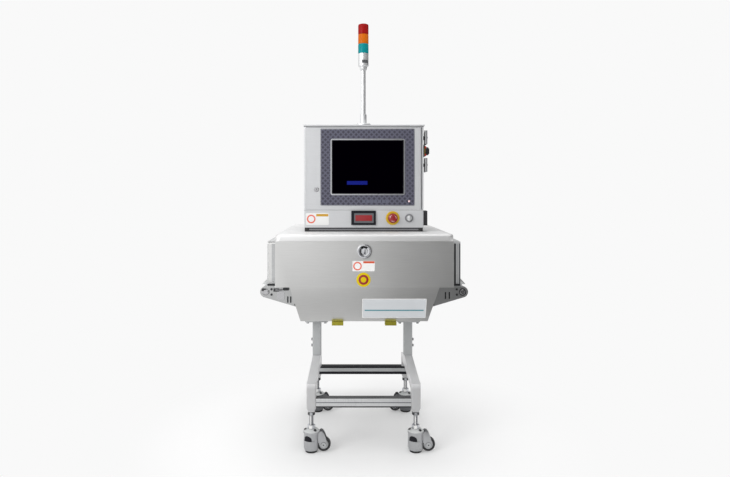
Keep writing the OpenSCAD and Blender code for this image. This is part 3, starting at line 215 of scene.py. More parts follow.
coated("right_hood_face_shading", (188, 189, 190), 0.45, 600, 0.03, metallic=0.2)
coated("stem_chrome", (142, 143, 147), 0.25, 500, 0.02, 0.0, metallic=1.0)
coated("key_film", (86, 88, 104), 0.4, 600, 0.04)
coated("hub_grey", (196, 198, 198), 0.4, 500, 0.05)
coated("shadow_gap", (36, 37, 40), 0.7, 300, 0.05)
sheetMetal("screen_rim", (206, 208, 212), (30, 30, 30), 0.3, 0.03)
# painted light: the stand above 0.30 m painted lighter than the legs below, where the body above keeps the
# arms in shade
paintedLightByPlace("stand_steel", "Z", 0.272, 0.300, (184, 184, 185), (226, 226, 227))
# painted shade: the rear casters painted darker than the front ones, as the shade under the machine
paintedLightByPlace("caster_zinc", "Y", -0.05, 0.05, (172, 173, 175), (104, 105, 108))
print("finishes ready:", len(finish))


# helpers for meshes

def settle(obj, body, stands=()):
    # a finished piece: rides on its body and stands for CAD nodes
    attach(obj, body)
    if stands:
        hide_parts(*stands)


def smoothByAngle(mesh, degrees=40):
    mesh.polygons.foreach_set("use_smooth", [True] * len(mesh.polygons))
    bm = bmesh.new()
    bm.from_mesh(mesh)
    for e in bm.edges:
        e.smooth = len(e.link_faces) == 2 and e.calc_face_angle(0) < math.radians(degrees)
    bm.to_mesh(mesh)
    bm.free()


def addObject(name, mesh):
    obj = bpy.data.objects.new(name, mesh)
    bpy.context.scene.collection.objects.link(obj)
    return obj


def bakeModifiers(obj):
    done = bpy.data.meshes.new_from_object(obj.evaluated_get(bpy.context.evaluated_depsgraph_get()))
    obj.modifiers.clear()
    obj.data = done


def joined(parts):
    whole = bmesh.new()
    for part in parts:
        temp = bpy.data.meshes.new("part")
        part.to_mesh(temp)
        part.free()
        whole.from_mesh(temp)
        bpy.data.meshes.remove(temp)
    return whole


def addMesh(name, shape, material):
    # shape: one bmesh, or several that make one piece
    bm = joined(shape) if isinstance(shape, list) else shape
    mesh = bpy.data.meshes.new(name)
    bmesh.ops.recalc_face_normals(bm, faces=bm.faces)
    bm.to_mesh(mesh)
    bm.free()
    mesh.materials.append(material)
    smoothByAngle(mesh)
    return addObject(name, mesh)


def piece(name, shape, material, body="root", slot=None, stands=()):
    settle(addMesh(name, shape, finish[material]), body, stands)


def bridge(bm, rows, around=False):
    # faces between each row of corners and the next; around: each row is a ring
    for a, b in zip(rows, rows[1:]):
        for k in range(len(a) if around else len(a) - 1):
            n = (k + 1) % len(a)
            bm.faces.new((a[k], a[n], b[n], b[k]))


def sheetOf(rows, thick):
    # a thin open sheet through rows of places
    bm = bmesh.new()
    bridge(bm, [[bm.verts.new(p) for p in row] for row in rows])
    if thick:
        bmesh.ops.solidify(bm, geom=bm.faces[:], thickness=thick)
    return bm


def onRing(cx, cy, r, degrees):
    # a place on a circle
    return cx + r * math.cos(math.radians(degrees)), cy + r * math.sin(math.radians(degrees))


def block(low, high, r=0.0008, segments=2):
    # a block between two opposite corners with rounded edges
    bm = bmesh.new()
    bmesh.ops.create_cube(bm, size=1.0)
    low, high = [Vector([pick(pair) for pair in zip(low, high)]) for pick in (min, max)]
    for v in bm.verts:
        v.co = Vector([low[i] + (high[i] - low[i]) * (v.co[i] + 0.5) for i in range(3)])
    if r > 0:
        bmesh.ops.bevel(bm, geom=bm.edges[:], offset=r, segments=segments, profile=0.6, affect="EDGES")
    return bm


def turned(profile, centre, axis="y", steps=48):
    # a body of revolution; profile is [(radius, along)], from axis to axis or else closed as a ring
    bm = bmesh.new()
    closed = profile[0][0] > 0
    rings = []
    for radius, along in profile:
        if radius < 1e-6:
            rings.append([bm.verts.new((0, 0, along))])
        else:
            rings.append([bm.verts.new((radius * math.cos(2 * math.pi * k / steps),
                                        radius * math.sin(2 * math.pi * k / steps), along))
                          for k in range(steps)])
    for a, b in zip(rings, rings[1:] + (rings[:1] if closed else [])):
        for k in range(steps if len(a) + len(b) > 2 else 0):
            n = (k + 1) % steps
            if len(a) == 1:
                bm.faces.new((a[0], b[k], b[n]))
            elif len(b) == 1:
                bm.faces.new((a[k], a[n], b[0]))
            else:
                bm.faces.new((a[k], a[n], b[n], b[k]))
    turn = {"z": Matrix.Identity(4), "y": Matrix.Rotation(math.radians(90), 4, "X"),
            "x": Matrix.Rotation(math.radians(90), 4, "Y")}[axis]
    bm.transform(Matrix.Translation(Vector(centre)) @ turn)
    return bm


def plateOutline(points, depth, place):
    # a flat outline in X and Z given thickness towards +Y from place (a Y value)
    bm = bmesh.new()
    face = bm.faces.new([bm.verts.new((x, place, z)) for x, z in points])
    out = bmesh.ops.extrude_face_region(bm, geom=[face])
    for v in out["geom"]:
        if isinstance(v, bmesh.types.BMVert):
            v.co.y += depth
    return bm


def roundedRect(cx, cz, w, h, r, steps=6):
    points = []
    for sx, sz, start in ((1, 1, 0), (-1, 1, 90), (-1, -1, 180), (1, -1, 270)):
        for k in range(steps + 1):
            points.append(onRing(cx + sx * (w / 2 - r), cz + sz * (h / 2 - r), r, start + 90 * k / steps))
    return points


def ringPlate(outer, inner, y0, y1):
    # a frame between two outlines with the same number of points, from y0 to y1
    bm = bmesh.new()
    loops = [[bm.verts.new((x, y, z)) for x, z in line]
             for y, line in ((y0, outer), (y0, inner), (y1, inner), (y1, outer))]
    bridge(bm, loops + loops[:1], True)
    return bm


def dressed(node, bevel, segments=2, material=None, angle=32):
    # a merged copy of a CAD node with its edges broken, standing for the node
    bm = bmesh.new()
    bm.from_mesh(nodes[node].data)
    bmesh.ops.remove_doubles(bm, verts=bm.verts, dist=0.00002)
    bmesh.ops.dissolve_limit(bm, angle_limit=math.radians(1.0), verts=bm.verts, edges=bm.edges)
    mesh = bpy.data.meshes.new(node + "_dressed")
    bm.to_mesh(mesh)
    bm.free()
    obj = addObject(mesh.name, mesh)
    mesh.materials.clear()
    mesh.materials.append(finish[material or slotOf[node]])
    smoothByAngle(mesh, angle)
    soft = obj.modifiers.new("edges", "BEVEL")
    soft.width = bevel
    soft.segments = segments
    soft.limit_method = "ANGLE"
    soft.angle_limit = math.radians(angle)
    soft.harden_normals = soft.use_clamp_overlap = True
    bakeModifiers(obj)
    settle(obj, bodyOf[node], [node])


# every CAD node gets its slot's finish first
for name, obj in nodes.items():
    obj.data.materials.clear()
    obj.data.materials.append(finish[slotOf[name]])

edgeRound = {
    "left_side_frame": 1.2, "right_side_frame": 1.2, "crossbars": 1.5, "post_sleeves": 1.2,
    "chamber_shell": 1.5, "top_cover": 3.0, "rear_cover": 2.0, "rear_fan_grille": 1.0, "front_door": 2.0,
    "hinge_blocks": 1.0, "hinge_lugs": 1.0, "left_tunnel_hood": 1.5, "right_tunnel_hood": 1.5,
    "left_end_plates": 1.0, "right_end_plates": 1.0, "display_cabinet": 0.8, "cabinet_lid": 2.0,
    "cabinet_plinth": 1.0, "monitor_door": 1.2, "side_fittings": 1.0}
for name, width in edgeRound.items():
    dressed(name, width * mm)
print("edges rounded:", len(edgeRound))


# the cover's outer skin: an upright lip with rounded corners, then nearly level up to the plinth
# each ring: half width, front Y, rear Y, height, corner radius
coverRings = [(0.3584, -0.4204, 0.4204, 0.9162, 0.020), (0.3584, -0.4204, 0.4204, 0.9340, 0.020),
              (0.3576, -0.4196, 0.4196, 0.9385, 0.024), (0.3545, -0.4165, 0.4165, 0.9420, 0.028),
              (0.3480, -0.4100, 0.4100, 0.9440, 0.032), (0.3300, -0.3930, 0.3930, 0.9452, 0.034),
              (0.2490, -0.2980, 0.0980, 0.9473, 0.006)]
coverSkin = {"thick": 0.0012, "drop": 0.0010, "leastR": 0.004}


def rectRing(bm, half, y0, y1, z, r):
    return [bm.verts.new((x, y, z)) for x, y in roundedRect(0, (y0 + y1) / 2, 2 * half, y1 - y0, r, 8)]


def buildCover():
    t = coverSkin["thick"]
    for name, rings, material in (("cover_lip", coverRings[:4], "lip_sheet"),
                                  ("cover_crown", coverRings[3:], "cover_sheet")):
        bm = bmesh.new()
        outside = [rectRing(bm, *ring) for ring in rings]
        inside = [rectRing(bm, half - t, y0 + t, y1 - t, z - (coverSkin["drop"] if k else 0),
                           max(coverSkin["leastR"], r - t)) for k, (half, y0, y1, z, r) in enumerate(rings)]
        bridge(bm, outside + inside[::-1] + outside[:1], True)
        piece(name, bm, material, "root", "cover_sheet")


buildCover()


# things that repeat, made with geometry nodes

def newTree(name, inputs):
    tree = bpy.data.node_groups.new(name, "GeometryNodeTree")
    tree.interface.new_socket("Geometry", in_out="INPUT", socket_type="NodeSocketGeometry")
    for label, kind in inputs:
        tree.interface.new_socket(label, in_out="INPUT", socket_type="NodeSocket" + kind)
    tree.interface.new_socket("Geometry", in_out="OUTPUT", socket_type="NodeSocketGeometry")
    return tree, tree.nodes.new("NodeGroupInput").outputs, tree.nodes.new("NodeGroupOutput")


def pointValue(tree, name):
    return grow(tree, "GeometryNodeInputNamedAttribute", {"Name": name},
                data_type="FLOAT_VECTOR").outputs["Attribute"]


def scatter(tree, given, shape, rotation, finishName, target):
    spots = grow(tree, "GeometryNodeInstanceOnPoints", {"Points": given["Geometry"], "Instance": shape,
                                                        "Rotation": rotation})
    solid = grow(tree, "GeometryNodeRealizeInstances", {"Geometry": spots.outputs["Instances"]})
    paint = grow(tree, "GeometryNodeSetMaterial", {"Geometry": solid.outputs["Geometry"],
                                                   "Material": given[finishName]})
    tree.links.new(paint.outputs["Geometry"], target.inputs["Geometry"])


def headTree():
    # a round head with a dark hexagon socket, on every point, along its aim
    tree, given, out = newTree("fastener_heads", [
        ("Head radius", "Float"), ("Head height", "Float"), ("Socket radius", "Float"),
        ("Head finish", "Material"), ("Socket finish", "Material")])
    point = grow(tree, "FunctionNodeAlignRotationToVector", {"Vector": pointValue(tree, "aim")}, axis="Z")
    join = grow(tree, "GeometryNodeJoinGeometry")
    for part, sideCount, lift in (("Head", 24, 0.5), ("Socket", 6, 0.53)):
        body = grow(tree, "GeometryNodeMeshCylinder",
                    {"Vertices": sideCount, "Radius": given[part + " radius"], "Depth": given["Head height"]})
        offset = grow(tree, "ShaderNodeCombineXYZ",
                      {"Z": maths(tree, "MULTIPLY", given["Head height"], lift)})
        move = grow(tree, "GeometryNodeTransform",
                    {"Geometry": body.outputs["Mesh"], "Translation": offset.outputs[0]})
        scatter(tree, given, move.outputs["Geometry"], point.outputs["Rotation"], part + " finish", join)
    tree.links.new(join.outputs["Geometry"], out.inputs["Geometry"])
    return tree


def barTree():
    # the same small block on every point, turned by the point's turn
    tree, given, out = newTree("repeated_bars", [("Size", "Vector"), ("Finish", "Material")])
    spin = grow(tree, "FunctionNodeEulerToRotation", {"Euler": pointValue(tree, "turn")})
    bar = grow(tree, "GeometryNodeMeshCube", {"Size": given["Size"]})
    scatter(tree, given, bar.outputs["Mesh"], spin.outputs["Rotation"], "Finish", out)
    return tree


heads, bars = headTree(), barTree()


def bakeTree(name, spots, attribute, tree, settings, body):
    mesh = bpy.data.meshes.new(name)
    mesh.from_pydata([tuple(spot) for spot, way in spots], [], [])
    mesh.attributes.new(attribute, "FLOAT_VECTOR", "POINT").data.foreach_set(
        "vector", [c for spot, way in spots for c in way])
    obj = addObject(name, mesh)
    live = obj.modifiers.new("repeat", "NODES")
    live.node_group = tree
    for item in tree.interface.items_tree:
        if item.in_out == "INPUT" and item.name in settings:
            live[item.identifier] = settings[item.name]
    bpy.context.view_layer.update()
    bakeModifiers(obj)
    smoothByAngle(obj.data)
    settle(obj, body)


def fasteners(name, spots, radius, height, socket=0.5, head="bolt_steel", body="root"):
    # spots: [(place, direction)]
    bakeTree(name, spots, "aim", heads,
             {"Head radius": radius, "Head height": height, "Socket radius": radius * socket,
              "Head finish": finish[head], "Socket finish": finish["dark_ink"]}, body)


def repeatedBars(name, spots, size, material, body="root"):
    # spots: [(place, turn)]
    bakeTree(name, spots, "turn", bars, {"Size": size, "Finish": finish[material]}, body)


# front door: latch, plates

door = {"faceY": -0.420, "foldZ": 0.731, "lowZ": 0.581, "rake": 0.070, "plateThick": 0.0008,
        "inkThick": 0.0003}


def rakedY(z):
    return door["faceY"] + (door["foldZ"] - z) / (door["foldZ"] - door["lowZ"]) * door["rake"]


latch = {"z": 0.876, "r": 0.029, "bore": 0.0132, "recessR": 0.0205, "thick": 0.008, "barrelR": 0.013,
         "gripW": 0.009, "gripOut": 0.020, "camL": 0.030, "camW": 0.016, "camY": (0.034, 0.038),
         "back": -0.038, "archStart": 48, "archSweep": 84, "archSteps": 18}


def buildLatch():
    h, y, z, t, r, bore = latch, door["faceY"], latch["z"], latch["thick"], latch["r"], latch["bore"]
    centre = (0, y, z)
    recess, barrelR, half, tip = h["recessR"], h["barrelR"], h["gripW"] / 2, y - h["gripOut"]
    dish = turned([(bore, 0), (r, 0), (r, t * 0.62), (r - 0.0012, t * 0.9), (r - 0.004, t),
                   (recess + 0.002, t * 0.95), (recess, t * 0.5), (bore, t * 0.42)], centre)
    piece("latch_dish", dish, "chrome", "front_door", "chrome", ["latch_plate"])
    # painted shade: a dark crescent on the recess floor above the bore
    arch = []
    for k in range(h["archSteps"] + 1):
        spots = [onRing(0, z, one, h["archStart"] + h["archSweep"] * k / h["archSteps"])
                 for one in (bore + 0.0006, recess - 0.0008)]
        arch.append([(px, y - t * 0.55, pz) for px, pz in spots])
    piece("latch_recess_shade", sheetOf(arch, 0.001), "dark_ink", "front_door")
    barrel = turned([(0, h["back"]), (barrelR - 0.001, h["back"]), (barrelR - 0.0002, h["back"] + 0.001),
                     (barrelR - 0.0002, t * 0.8), (barrelR - 0.0012, t), (0, t)], centre)
    grip = block((-half, tip, z - barrelR), (half, y - t * 0.5, z + barrelR), 0.0022, 4)
    cam = block((0, y + h["camY"][0], z - h["camW"] / 2), (h["camL"], y + h["camY"][1], z + h["camW"] / 2))
    piece("latch_key", [barrel, grip, cam], "chrome", "door_latch", "chrome", ["latch_barrel"])
    piece("latch_key_slit", block((-0.0007, tip - 0.0003, z - 0.005), (0.0007, tip + 0.001, z + 0.005), 0),
          "dark_ink", "door_latch")
    piece("latch_key_inlay", block((-half + 0.0006, tip - 0.0002, z - barrelR + 0.002),
                                   (half - 0.0006, tip + 0.001, z - 0.003), 0), "grey_ink", "door_latch")


def flatPlate(name, xs, zs, y, material, body="root", r=0.003, thick=0.0008):
    # a thin plate with round corners, its back on the plane y
    bm = plateOutline(roundedRect(sum(xs) / 2, sum(zs) / 2, xs[1] - xs[0], zs[1] - zs[0], r), thick,
                      y - thick)
    piece(name, bm, material, body)


def disc(name, x, y, z, r, material, body="root", thick=0.0003, inner=0.0):
    profile = [(inner, 0), (r, 0), (r, thick * 0.7), (r - 0.0004, thick), (inner, thick)]
    piece(name, turned(profile, (x, y, z)), material, body)


def rakedPlate(name, xs, zs, material, proud, r=0.004, inset=0.0):
    # a plate on the door's raked lower half
    lean = math.atan2(door["rake"], door["foldZ"] - door["lowZ"])
    length = (zs[1] - zs[0] - 2 * inset) / math.cos(lean)
    thick = door["plateThick"]
    bm = plateOutline(roundedRect(0, 0, xs[1] - xs[0] - 2 * inset, length, r), thick, -proud - thick)
    mid = sum(zs) / 2
    bm.transform(Matrix.Translation((sum(xs) / 2, rakedY(mid), mid)) @ Matrix.Rotation(lean, 4, "X"))
    piece(name, bm, material, "front_door")


doorPlates = {"labelX": (-0.048, 0.041), "labelZ": (0.796, 0.837), "barX": (-0.005, 0.040),
              "barZ": (0.828, 0.836), "ring": (-0.028, 0.8165, 0.0172, 0.0120), "discX": -0.004,
              "discZ": 0.762, "discR": 0.0286, "discRing": (0.0200, 0.0112), "nameX": (-0.008, 0.252),
              "nameZ": (0.597, 0.682), "lineX": (0.002, 0.242), "lineZ": (0.629, 0.634)}


def buildDoorPlates():
    p, y, t, ink = doorPlates, door["faceY"], door["plateThick"], door["inkThick"]
    flatPlate("door_label", p["labelX"], p["labelZ"], y, "enamel_white", "front_door")
    flatPlate("door_label_bar", p["barX"], p["barZ"], y - t, "rust_ink", "front_door", 0.001, ink)
    x, z, r, inner = p["ring"]
    disc("door_label_ring", x, y - t, z, r, "sign_red", "front_door", ink, inner)
    disc("door_sign", p["discX"], y, p["discZ"], p["discR"], "sign_yellow", "front_door", t)
    r, inner = p["discRing"]
    disc("door_sign_ring", p["discX"], y - t, p["discZ"], r, "lamp_red", "front_door", ink, inner)
    rakedPlate("name_plate_edge", p["nameX"], p["nameZ"], "enamel_white", 0.0)
    rakedPlate("name_plate", p["nameX"], p["nameZ"], "plate_pale_grey", 0.0004, 0.003, 0.002)
    rakedPlate("name_plate_line", p["lineX"], p["lineZ"], "teal_ink", 0.0007, 0.001)


buildLatch()
buildDoorPlates()
print("door hardware done")


# display cabinet

cabinet = {"x": 0.251, "frontY": -0.300, "backY": 0.100, "topZ": 1.390, "controlZ": 1.004,
           "panelX": (-0.182, 0.213), "panelZ": (1.056, 1.378), "screenX": (-0.135, 0.168),
           "screenZ": (1.105, 1.332), "pitch": 0.0215, "barX": (-0.071, 0.015), "barZ": (1.144, 1.1595),
           "ledX": 0.1895, "ledZ": 1.0746, "ledR": 0.0042, "keyPitch": 0.0165, "keyZ": 1.0735,
           "keySize": (0.0125, 0.0006, 0.0125), "keyCount": 7}
film = {"ground": (72, 74, 90), "light": (86, 86, 102), "dark": (46, 45, 58), "speck": 0.16, "from": 0.1,
        "to": 0.42}


def quiltedFilm(name, pitch):
    # printed film: crossed diagonal bands that make small diamonds
    tree, shader = startMaterial(name, film["ground"], 0.0, 0.42)
    turn = grow(tree, "ShaderNodeMapping", {"Rotation": (0, math.radians(45), 0), "Vector": ownPlace(tree),
                                            "Scale": [1 / (pitch / math.sqrt(2))] * 3})
    split = axes(tree, turn.outputs["Vector"])
    near = maths(tree, "MINIMUM", *[maths(tree, "PINGPONG", split[axis], 0.5) for axis in "XZ"])
    fine = maths(tree, "MULTIPLY_ADD", stretchedNoise(tree, even, 900, 2.0), film["speck"], near)
    tree.links.new(tone(tree, spread(tree, fine, 0, 1, film["from"], film["to"]), linear(*film["light"]),
                        linear(*film["dark"])), shader.inputs["Base Color"])
    addBump(tree, shader, near, 0.25, 0.0006)


def frameRing(name, xs, zs, inset, width, y, out, material, body, r=0.004, outerR=None):
    # a frame of the given width outside the opening xs, zs (made smaller by inset), standing out from y
    cx, cz = sum(xs) / 2, sum(zs) / 2
    w, h = xs[1] - xs[0] - 2 * inset, zs[1] - zs[0] - 2 * inset
    piece(name, ringPlate(roundedRect(cx, cz, w + 2 * width, h + 2 * width, outerR or r + width),
                          roundedRect(cx, cz, w, h, r), y - out, y), material, body)


def buildMonitor():
    c, on = cabinet, "monitor_door"
    face = c["frontY"] - 0.0015
    quiltedFilm("quilted_film", c["pitch"])
    dressed("membrane_panel", 0.0004, 1, "quilted_film")
    frameRing("panel_edge", c["panelX"], c["panelZ"], 0.0022, 0.001, face, 0.0002, "screen_rim", on, 0.003)
    dressed("screen", 0.0006, 1)
    frameRing("screen_frame", c["screenX"], c["screenZ"], 0, 0.0048, face, 0.0012, "screen_rim", on)
    frameRing("screen_seal", c["screenX"], c["screenZ"], 0.003, 0.003, face + 0.001, 0.0008, "dark_ink", on,
              0.001)
    flatPlate("screen_bar", c["barX"], c["barZ"], c["frontY"] - 0.0001, "screen_blue", on, 0.002, 0.0003)
    disc("panel_lamp", c["ledX"], face, c["ledZ"], c["ledR"], "led_lens", on, 0.0012)
    keys = [((c["keyPitch"] * k, face - 0.0002, c["keyZ"]), unturned) for k in range(c["keyCount"])]
    repeatedBars("panel_keys", keys, c["keySize"], "key_film", on)


lock = {"x": -0.199, "z": 1.124, "r": 0.010, "out": 0.003, "back": -0.0153, "tongueHalf": 0.006,
        "tongueLow": 0.046}


def buildCamLock():
    x, z, out, back, y = lock["x"], lock["z"], lock["out"], lock["back"], cabinet["frontY"]
    r, half = lock["r"] - 0.0002, lock["tongueHalf"]
    cap = turned([(0, back), (r - 0.0004, back), (r, back + 0.0008), (r, 0.0), (r, out * 0.6),
                  (r - 0.0012, out), (0, out)], (x, y, z))
    tongue = block((x - half, y + 0.0123, z - lock["tongueLow"]), (x + half, y - back, z), 0.0006)
    piece("cam_lock_body", [cap, tongue], "bolt_steel", "cam_lock", "chrome", ["cam_lock"])
    piece("cam_lock_slit", block((x - 0.0008, y - out - 0.0002, z - 0.0045),
                                 (x + 0.0008, y - out + 0.0006, z + 0.0045), 0), "dark_ink", "cam_lock")


controls = {
    "bezelX": (-0.0440, 0.0415), "bezelZ": (0.9835, 1.0262), "trayX": (-0.041, 0.041),
    "trayZ": (0.984, 1.024), "windowX": (-0.0355, 0.0345), "windowZ": (0.992, 1.0165), "stopX": 0.121,
    "keyX": 0.190, "markR": 0.0128, "labelX": (-0.243, -0.147), "labelZ": (0.975, 1.025),
    "barX": (-0.200, -0.149), "barZ": (1.011, 1.021), "ring": (-0.221, 1.000, 0.0182, 0.0125),
    "collar": [(0.01105, 0), (0.029, 0), (0.029, 0.0032), (0.0278, 0.0046), (0.0262, 0.005), (0.0235, 0.005),
               (0.0205, 0.0046), (0.01105, 0.0046)],
    "mushroom": [(0, -0.045), (0.011, -0.045), (0.011, 0.011), (0.0185, 0.0112), (0.020, 0.0135),
                 (0.0202, 0.0165), (0.0195, 0.0195), (0.0172, 0.0222), (0.0125, 0.0243), (0.006, 0.0250),
                 (0, 0.0250)],
    "keyRing": [(0.01105, 0), (0.0175, 0), (0.0175, 0.0042), (0.0162, 0.0058), (0.0145, 0.006),
                (0.01105, 0.006)],
    "barrel": [(0, -0.045), (0.011, -0.045), (0.011, 0.0052), (0.0102, 0.006), (0, 0.006)],
    "bowHalf": (0.002, 0.011)}


def buildControls():
    c, y, z = controls, cabinet["frontY"], cabinet["controlZ"]
    stopAt, keyAt, plate = (c["stopX"], y, z), (c["keyX"], y, z), y - door["plateThick"]
    dressed("warning_lamp", 0.0008, 2, "lamp_frame")
    frameRing("lamp_bezel", c["bezelX"], c["bezelZ"], 0, 0.0088, y - 0.006, 0.0012, "lamp_frame", "root",
              0.0003, 0.0026)
    flatPlate("lamp_tray", c["trayX"], c["trayZ"], y - 0.0058, "grey_ink", "root", 0.002, 0.0006)
    (x0, x1), (z0, z1) = c["windowX"], c["windowZ"]
    piece("lamp_window", block((x0, y - 0.0085, z0), (x1, y - 0.006, z1), 0.0012, 3), "lamp_red", "root",
          "lamp_red")
    piece("stop_collar", turned(c["collar"], stopAt), "stop_yellow", "root", "stop_yellow", ["stop_ring"])
    piece("stop_mushroom", turned(c["mushroom"], stopAt), "stop_red", "stop_button", "stop_red",
          ["stop_button"])
    arrows = []
    for turn in [120 * k + 12 * j for k in range(3) for j in range(5)]:
        x, up = onRing(c["stopX"], z, c["markR"], turn)
        arrows.append(((x, y - 0.0243, up), (0, -math.radians(turn), 0)))
    repeatedBars("stop_turn_marks", arrows, (0.0012, 0.0010, 0.0024), "enamel_white", "stop_button")
    piece("key_collar_ring", turned(c["keyRing"], keyAt), "plinth_strip", "root", "chrome", ["key_collar"])
    half, tall = c["bowHalf"]
    bow = block((c["keyX"] - half, y - 0.022, z - tall), (c["keyX"] + half, y - 0.006, z + tall), 0.0012, 3)
    piece("key_barrel", [turned(c["barrel"], keyAt), bow], "tower_parts", "key_switch", "bolt_steel",
          ["key_switch"])
    flatPlate("control_label", c["labelX"], c["labelZ"], y, "enamel_white", "root", 0.004)
    x, up, r, inner = c["ring"]
    disc("control_label_ring", x, plate, up, r, "sign_red", "root", 0.0003, inner)
    flatPlate("control_label_bar", c["barX"], c["barZ"], plate, "amber_ink", "root", 0.0015, 0.0003)


# each jamb: its two corners, Y from the cabinet's front
trim = {"jambs": [((0.2421, 0.0124, 1.0404), (0.2444, 0.0136, 1.3846)),
                  ((-0.2430, 0.0006, 1.0392), (-0.2421, 0.0030, 1.3846)),
                  ((-0.2430, 0.0010, 1.0391), (0.2444, 0.0030, 1.0399))],
        "seamX": 0.2508, "seamZ": (1.0352, 1.0378), "gapLift": 0.0003, "gapHigh": 0.0022, "footX": 0.2395,
        "footHalf": 0.009, "footZ": (0.9476, 0.9637), "footY": 0.003, "stripX": 0.2295,
        "stripZ": (0.9530, 0.9585)}


def buildCabinetTrim():
    c, t, y = cabinet, trim, cabinet["frontY"]
    front = Vector((0, y, 0))
    piece("door_jamb_strips", [block(front + Vector(a), front + Vector(b), 0) for a, b in t["jambs"]],
          "cabinet_sheet")
    piece("control_row_seam", block((-t["seamX"], y - 0.0004, t["seamZ"][0]),
                                    (t["seamX"], y + 0.0006, t["seamZ"][1]), 0), "seam_grey")
    mid, wide, deep = (y + c["backY"]) / 2, 2 * c["x"], c["backY"] - y
    gap = ringPlate(roundedRect(0, mid, wide + 0.0008, deep + 0.0008, 0.005),
                    roundedRect(0, mid, wide - 0.002, deep - 0.002, 0.004), 0, t["gapHigh"])
    gap.transform(Matrix.Translation((0, 0, c["topZ"] + t["gapLift"]))
                  @ Matrix.Rotation(math.radians(-90), 4, "X"))
    piece("lid_shadow_gap", gap, "shadow_gap")
    feet = []
    for sx, sy in sides:
        out = y + t["footY"] if sy < 0 else c["backY"] - t["footY"]
        x = sx * t["footX"]
        feet.append(block((x - t["footHalf"], out + sy * 0.002, t["footZ"][0]),
                          (x + t["footHalf"], out - sy * 0.014, t["footZ"][1]), 0.001))
    piece("plinth_corners", feet, "foot_rubber")
    piece("plinth_strips", [block((-t["stripX"], at, t["stripZ"][0]),
                                  (t["stripX"], at + 0.0012, t["stripZ"][1]), 0)
                            for at in (y + 0.0018, c["backY"] - 0.003)], "plinth_strip")


# conveyor ends and stand

conveyor = {"rollerX": 0.405, "rollerZ": 0.702, "plateY": 0.3506, "boltX": 0.381, "boltGap": 0.022,
            "footX": 0.283, "footZ": 0.650,
            "ring": [(0.0105, 0), (0.0150, 0), (0.0150, 0.0016), (0.0142, 0.0022), (0.0105, 0.0022)],
            "cap": [(0, 0), (0.0100, 0), (0.0100, 0.0030), (0.0090, 0.0040), (0, 0.0040)],
            "adjusters": [(-0.373, -0.350, 0.7035), (-0.4215, -0.4020, 0.7055)], "adjusterTop": 0.7165,
            "rodX": -0.364, "rodZ": 0.710, "rod": [(0, 0), (0.0028, 0), (0.0028, 0.030), (0, 0.030)],
            "threadX": -0.362, "threadPitch": 0.0022, "threads": 12, "thread": (0.0009, 0.0062, 0.0062)}


def buildConveyorEnds():
    c = conveyor
    z, outer = c["rollerZ"], c["plateY"] + 0.004
    caps, rings, spots = [], [], []
    for sx, sy in sides:
        y = sy * (c["plateY"] + 0.0001)
        for profile, bag in ((c["ring"], rings), (c["cap"], caps)):
            bm = turned(profile, unturned)
            if sy > 0:
                bm.transform(Matrix.Rotation(math.pi, 4, "Z"))
            bm.transform(Matrix.Translation((sx * c["rollerX"], y, z)))
            (caps if sx < 0 else bag).append(bm)
        for dz in (-1, 1):
            spots.append(((sx * c["boltX"], y, z + dz * c["boltGap"] / 2), (0, sy, 0)))
        spots.append(((sx * c["footX"], y, c["footZ"]), (0, sy, 0)))
    piece("roller_rings", rings, "dark_metal")
    piece("roller_caps", caps, "bolt_steel")
    fasteners("guide_bolts", spots, 0.0046, 0.0028, 0.5, "dark_metal")
    blocks = [block((x0, sy * outer, z0), (x1, sy * c["plateY"], c["adjusterTop"]), 0.001)
              for sy in (-1, 1) for x0, x1, z0 in c["adjusters"]]
    piece("belt_adjuster_blocks", blocks, "dark_metal")
    piece("belt_adjuster_rods", [turned(c["rod"], (c["rodX"], sy * (outer - 0.0005), c["rodZ"]), "x")
                                 for sy in (-1, 1)], "bolt_steel")
    threads = [((c["threadX"] + c["threadPitch"] * k, sy * (outer - 0.0004), c["rodZ"]), unturned)
               for sy in (-1, 1) for k in range(c["threads"])]
    repeatedBars("belt_adjuster_threads", threads, c["thread"], "dark_metal")


hood = {"y": 0.3003, "innerY": 0.2990, "z": (0.7285, 0.897), "faceX": (0.3588, 0.4060),
        "foldX": (0.3915, 0.3933), "topY": 0.3, "topZ": 0.9050, "faceY": 0.3001, "faceUp": 0.007,
        "finY": 0.3005, "finThick": 0.0006,
        "fin": [(0.4064, 0.7425), (0.4064, 0.7262), (0.4262, 0.7262)]}
# painted light and shade on the hoods' front and rear faces: seam is the shade beside the door, edge the
# light and dark at the outer edge, foot the shadow under the hood; each line: X, Z, finish on the left and on
# the right
hoodShadeLines = {"seam": ((0.373, 0.387), hood["z"], "seam_grey", "dark_metal"),
             "edge": ((0.3990, 0.4052), hood["z"], "edge_grey", "grey_ink"),
             "foot": ((0.353, 0.405), (0.7170, 0.7284), "shadow_gap", "shadow_gap")}


def hoodShadeStrip(name, sx, sy, xs, zs, material, y=hood["y"]):
    piece(name, block((sx * xs[0], sy * y, zs[0]), (sx * xs[1], sy * hood["innerY"], zs[1]), 0), material)


